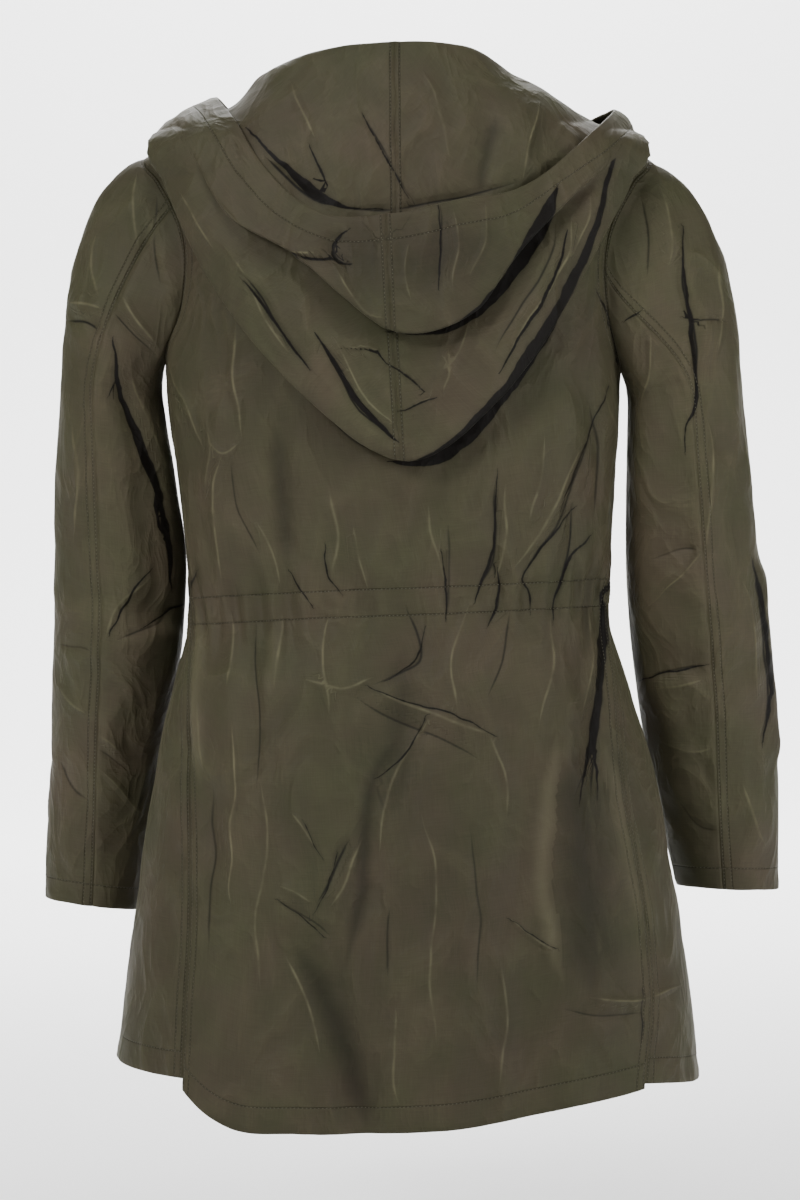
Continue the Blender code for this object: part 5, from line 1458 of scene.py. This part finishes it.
def build_hood():
    """Two halves that meet at the double-stitched centre seam, with a stitched brim."""
    skin = body_skin()
    columns, rows = 128, 190
    downs = np.interp(np.linspace(0, len(HOOD_SHARES) - 1, rows), np.arange(len(HOOD_SHARES)), HOOD_SHARES)
    places = np.interp(np.linspace(0, len(HOOD_ACROSS) - 1, columns), np.arange(len(HOOD_ACROSS)), HOOD_ACROSS)
    for side in ("left", "right"):
        shares = places if side == "left" else 1 - places
        points = np.stack([hood_column(share, downs, skin) for share in shares], 1)
        outward = np.zeros_like(points)
        outward[-20:, :, 1] = 1.0
        normals = grid_normals(points, outward)
        faces_back = normals @ np.array([0.0, 0.9, 0.436])
        calm = np.clip(downs / 0.4, 0, 1)[:, None] * np.clip(places / 0.08, 0.1, 1)[None, :]
        calm = calm * seam_fade(points, ("last column",))
        shown = {"inside": downs < 2.2, "pouch": (downs > 2.8) & (downs < 5.2), "flap": downs > 5.5}
        heights = np.zeros(calm.shape)
        marks = {name: np.full(calm.shape, plain) for name, plain in MARKS}
        for name, mask in shown.items():
            raised, found = creases(points, (name,))
            heights[mask] = raised[mask]
            for key, values in {**found, **shadows(points, (name,))}.items():
                marks[key][mask] = values[mask]
        height = (0.55 * crinkle(points) + heights * faces_back) * calm
        seen = np.clip(2 * np.abs(faces_back), 0, 1) * calm
        seam_row = away_from(points, ("last column",)) - HOOD_SEAM_ROW
        brim_row = away_from(points, ("last row",)) - HEM_ROW
        seam_nearer = np.abs(seam_row) < np.abs(brim_row)
        marks["worn"] = worn_ridges(points, height) * np.sign(faces_back) * calm
        marks["crease_height"] = marks["crease_height"] * seen
        marks["fold_height"] = marks["fold_height"] * seen
        marks["row_away"] = np.where(seam_nearer, seam_row, brim_row)
        height += seam_relief(points, ("last column", "first row", "last row"))
        points = points + normals * height[..., None]
        normals = grid_normals(points, outward)
        name = f"hood_{side}"
        turned = turn_under(points[::-1], normals[::-1], 19.0)
        obj = cloth_piece(name + "_cloth", turned, CLOTH, upended(marks))
        stand_in(name)
        lines = []
        for sign in (1, -1):
            for edge, distance in (("last column", HOOD_SEAM_ROW), ("last row", HEM_ROW)):
                line, ups = inset_line(points, normals, edge, distance)
                lines.append((line + (ups * -WALL if sign < 0 else 0), ups * sign))
        stitch_piece(name + "_stitches", lines, THREAD)


# ---- zip --------------------------------------------------------------------
def zip_points(levels, x):
    """Points of the zip at a distance x from the centre line, behind the fronts."""
    return body_surface(angle_at_width(levels, x), levels) + np.array([0, ZIP_INSET, 0])


def teeth_piece(name, line):
    """Interlocked metal teeth, left and right in turn, along a line of points."""
    total = np.linalg.norm(np.diff(line, axis=0), axis=-1).sum()
    run = np.arange(0.5 * TOOTH_PITCH, total, 0.5 * TOOTH_PITCH)
    centres = resample(line, run)
    along = unit(resample(line, run + 0.5) - resample(line, run - 0.5))
    side = np.where(np.arange(len(run)) % 2 == 0, 1.0, -1.0)[:, None] * np.array([1.0, 0, 0])
    out = unit(np.cross(side, along))
    profile = np.array(TOOTH)
    flat = (centres[:, None] + profile[None, :, 0, None] * side[:, None]
            + profile[None, :, 1, None] * along[:, None])
    points = np.concatenate([flat + TOOTH_DEPTH * out[:, None], flat - TOOTH_DEPTH * out[:, None]], 1)
    sides = len(TOOTH)
    faces = []
    for tooth in range(len(run)):
        first = 2 * sides * tooth
        faces.append([first + place for place in range(sides)])
        faces.append([first + sides + place for place in reversed(range(sides))])
        for place in range(sides):
            after = (place + 1) % sides
            faces.append([first + after, first + place, first + sides + place, first + sides + after])
    mesh = bpy.data.meshes.new(name)
    mesh.from_pydata((points.reshape(-1, 3) * MM).tolist(), [], faces)
    mesh.materials.append(METAL)
    obj = bpy.data.objects.new(name, mesh)
    bpy.context.scene.collection.objects.link(obj)
    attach(obj, "jacket")
    return obj


def build_zip():
    """Ribbed tapes, the chain's teeth, and metal for slider and pull."""
    levels = np.arange(ZIP_TOP_LEVEL, ZIP_BOTTOM, -GRID)
    for side, sign in (("left", 1), ("right", -1)):
        across = np.linspace(CHAIN_HALF + SEAM, TAPE_HALF, 6)
        points = np.stack([zip_points(levels, sign * x) for x in across], 1)
        tape = cloth_piece(f"zip_tape_{side}_cloth", points, TAPE)
        stand_in(f"zip_tape_{side}")
    chain = zip_points(np.arange(CHAIN_TOP, ZIP_BOTTOM, -GRID), 0.0)
    teeth = teeth_piece("zip_teeth", chain)
    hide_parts("zip_chain")
    for name in ("zip_slider", "zip_pull"):
        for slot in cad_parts[name].material_slots:
            slot.material = METAL


# ---- studio -----------------------------------------------------------------
def build_studio():
    """A pale floor that curves up into a pale wall, soft lights, and the picture's camera."""
    made, shader, add, link = new_material("studio_white")
    grain = add("ShaderNodeTexNoise", {"Scale": 3.0})
    tone = add("ShaderNodeMapRange", {"Value": grain.outputs["Fac"], "To Min": 0.90, "To Max": 0.93})
    link(tone.outputs["Result"], shader.inputs["Base Color"])
    shader.inputs["Roughness"].default_value = 0.9
    low, high = -0.90, 4.5
    near, far, radius, half = 13.0, -7.2, 1.4, 14.0
    profile = [(near, low)]
    profile += [(far + radius * (1 - np.sin(turn)), low + radius * (1 - np.cos(turn)))
                for turn in np.linspace(0, 0.5 * pi, 24)]
    profile.append((far, high))
    verts = [(x, y, z) for y, z in profile for x in (-half, half)]
    faces = [(2 * i, 2 * i + 1, 2 * i + 3, 2 * i + 2) for i in range(len(profile) - 1)]
    mesh = bpy.data.meshes.new("studio")
    mesh.from_pydata(verts, [], faces)
    mesh.materials.append(made)
    mesh.shade_smooth()
    studio = bpy.data.objects.new("studio", mesh)
    bpy.context.scene.collection.objects.link(studio)

    world = bpy.data.worlds.new("studio_air")
    world.use_nodes = True
    world.node_tree.nodes["Background"].inputs["Color"].default_value = (1, 1, 1, 1)
    world.node_tree.nodes["Background"].inputs["Strength"].default_value = 0.17
    bpy.context.scene.world = world

    aim = Vector((0, 0, -0.40))
    lights = (
        ("key", (1.7, 2.2, 1.1), 0.7, 70),
        ("fill", (-2.3, 1.5, 0.1), 1.2, 46),
        ("top", (0.2, 1.4, 2.2), 1.2, 48),
        ("front", (0.6, -2.9, 1.2), 1.8, 32),
        ("wall", (0.0, -4.4, 4.0), 3.5, 1080),
    )
    for name, place, size, watts in lights:
        data = bpy.data.lights.new(name, "AREA")
        data.size = size
        data.energy = watts
        light = bpy.data.objects.new(name, data)
        light.location = place
        target = Vector((0, -6.3, -0.9)) if name == "wall" else aim
        light.rotation_euler = (target - Vector(place)).to_track_quat("-Z", "Y").to_euler()
        bpy.context.scene.collection.objects.link(light)

    camera_data = bpy.data.cameras.new("camera")
    camera_data.sensor_width = 36.0
    camera_data.lens = 18.0 * CAMERA_AWAY / HALF_FRAME
    camera = bpy.data.objects.new("camera", camera_data)
    camera.location = (CAMERA_SIDE * MM, CAMERA_AWAY * MM, CAMERA_LEVEL * MM)
    camera.rotation_euler = (0.5 * pi, 0, pi)
    bpy.context.scene.collection.objects.link(camera)
    bpy.context.scene.camera = camera


build_body()
build_sleeves()
build_hood()
build_zip()
build_studio()
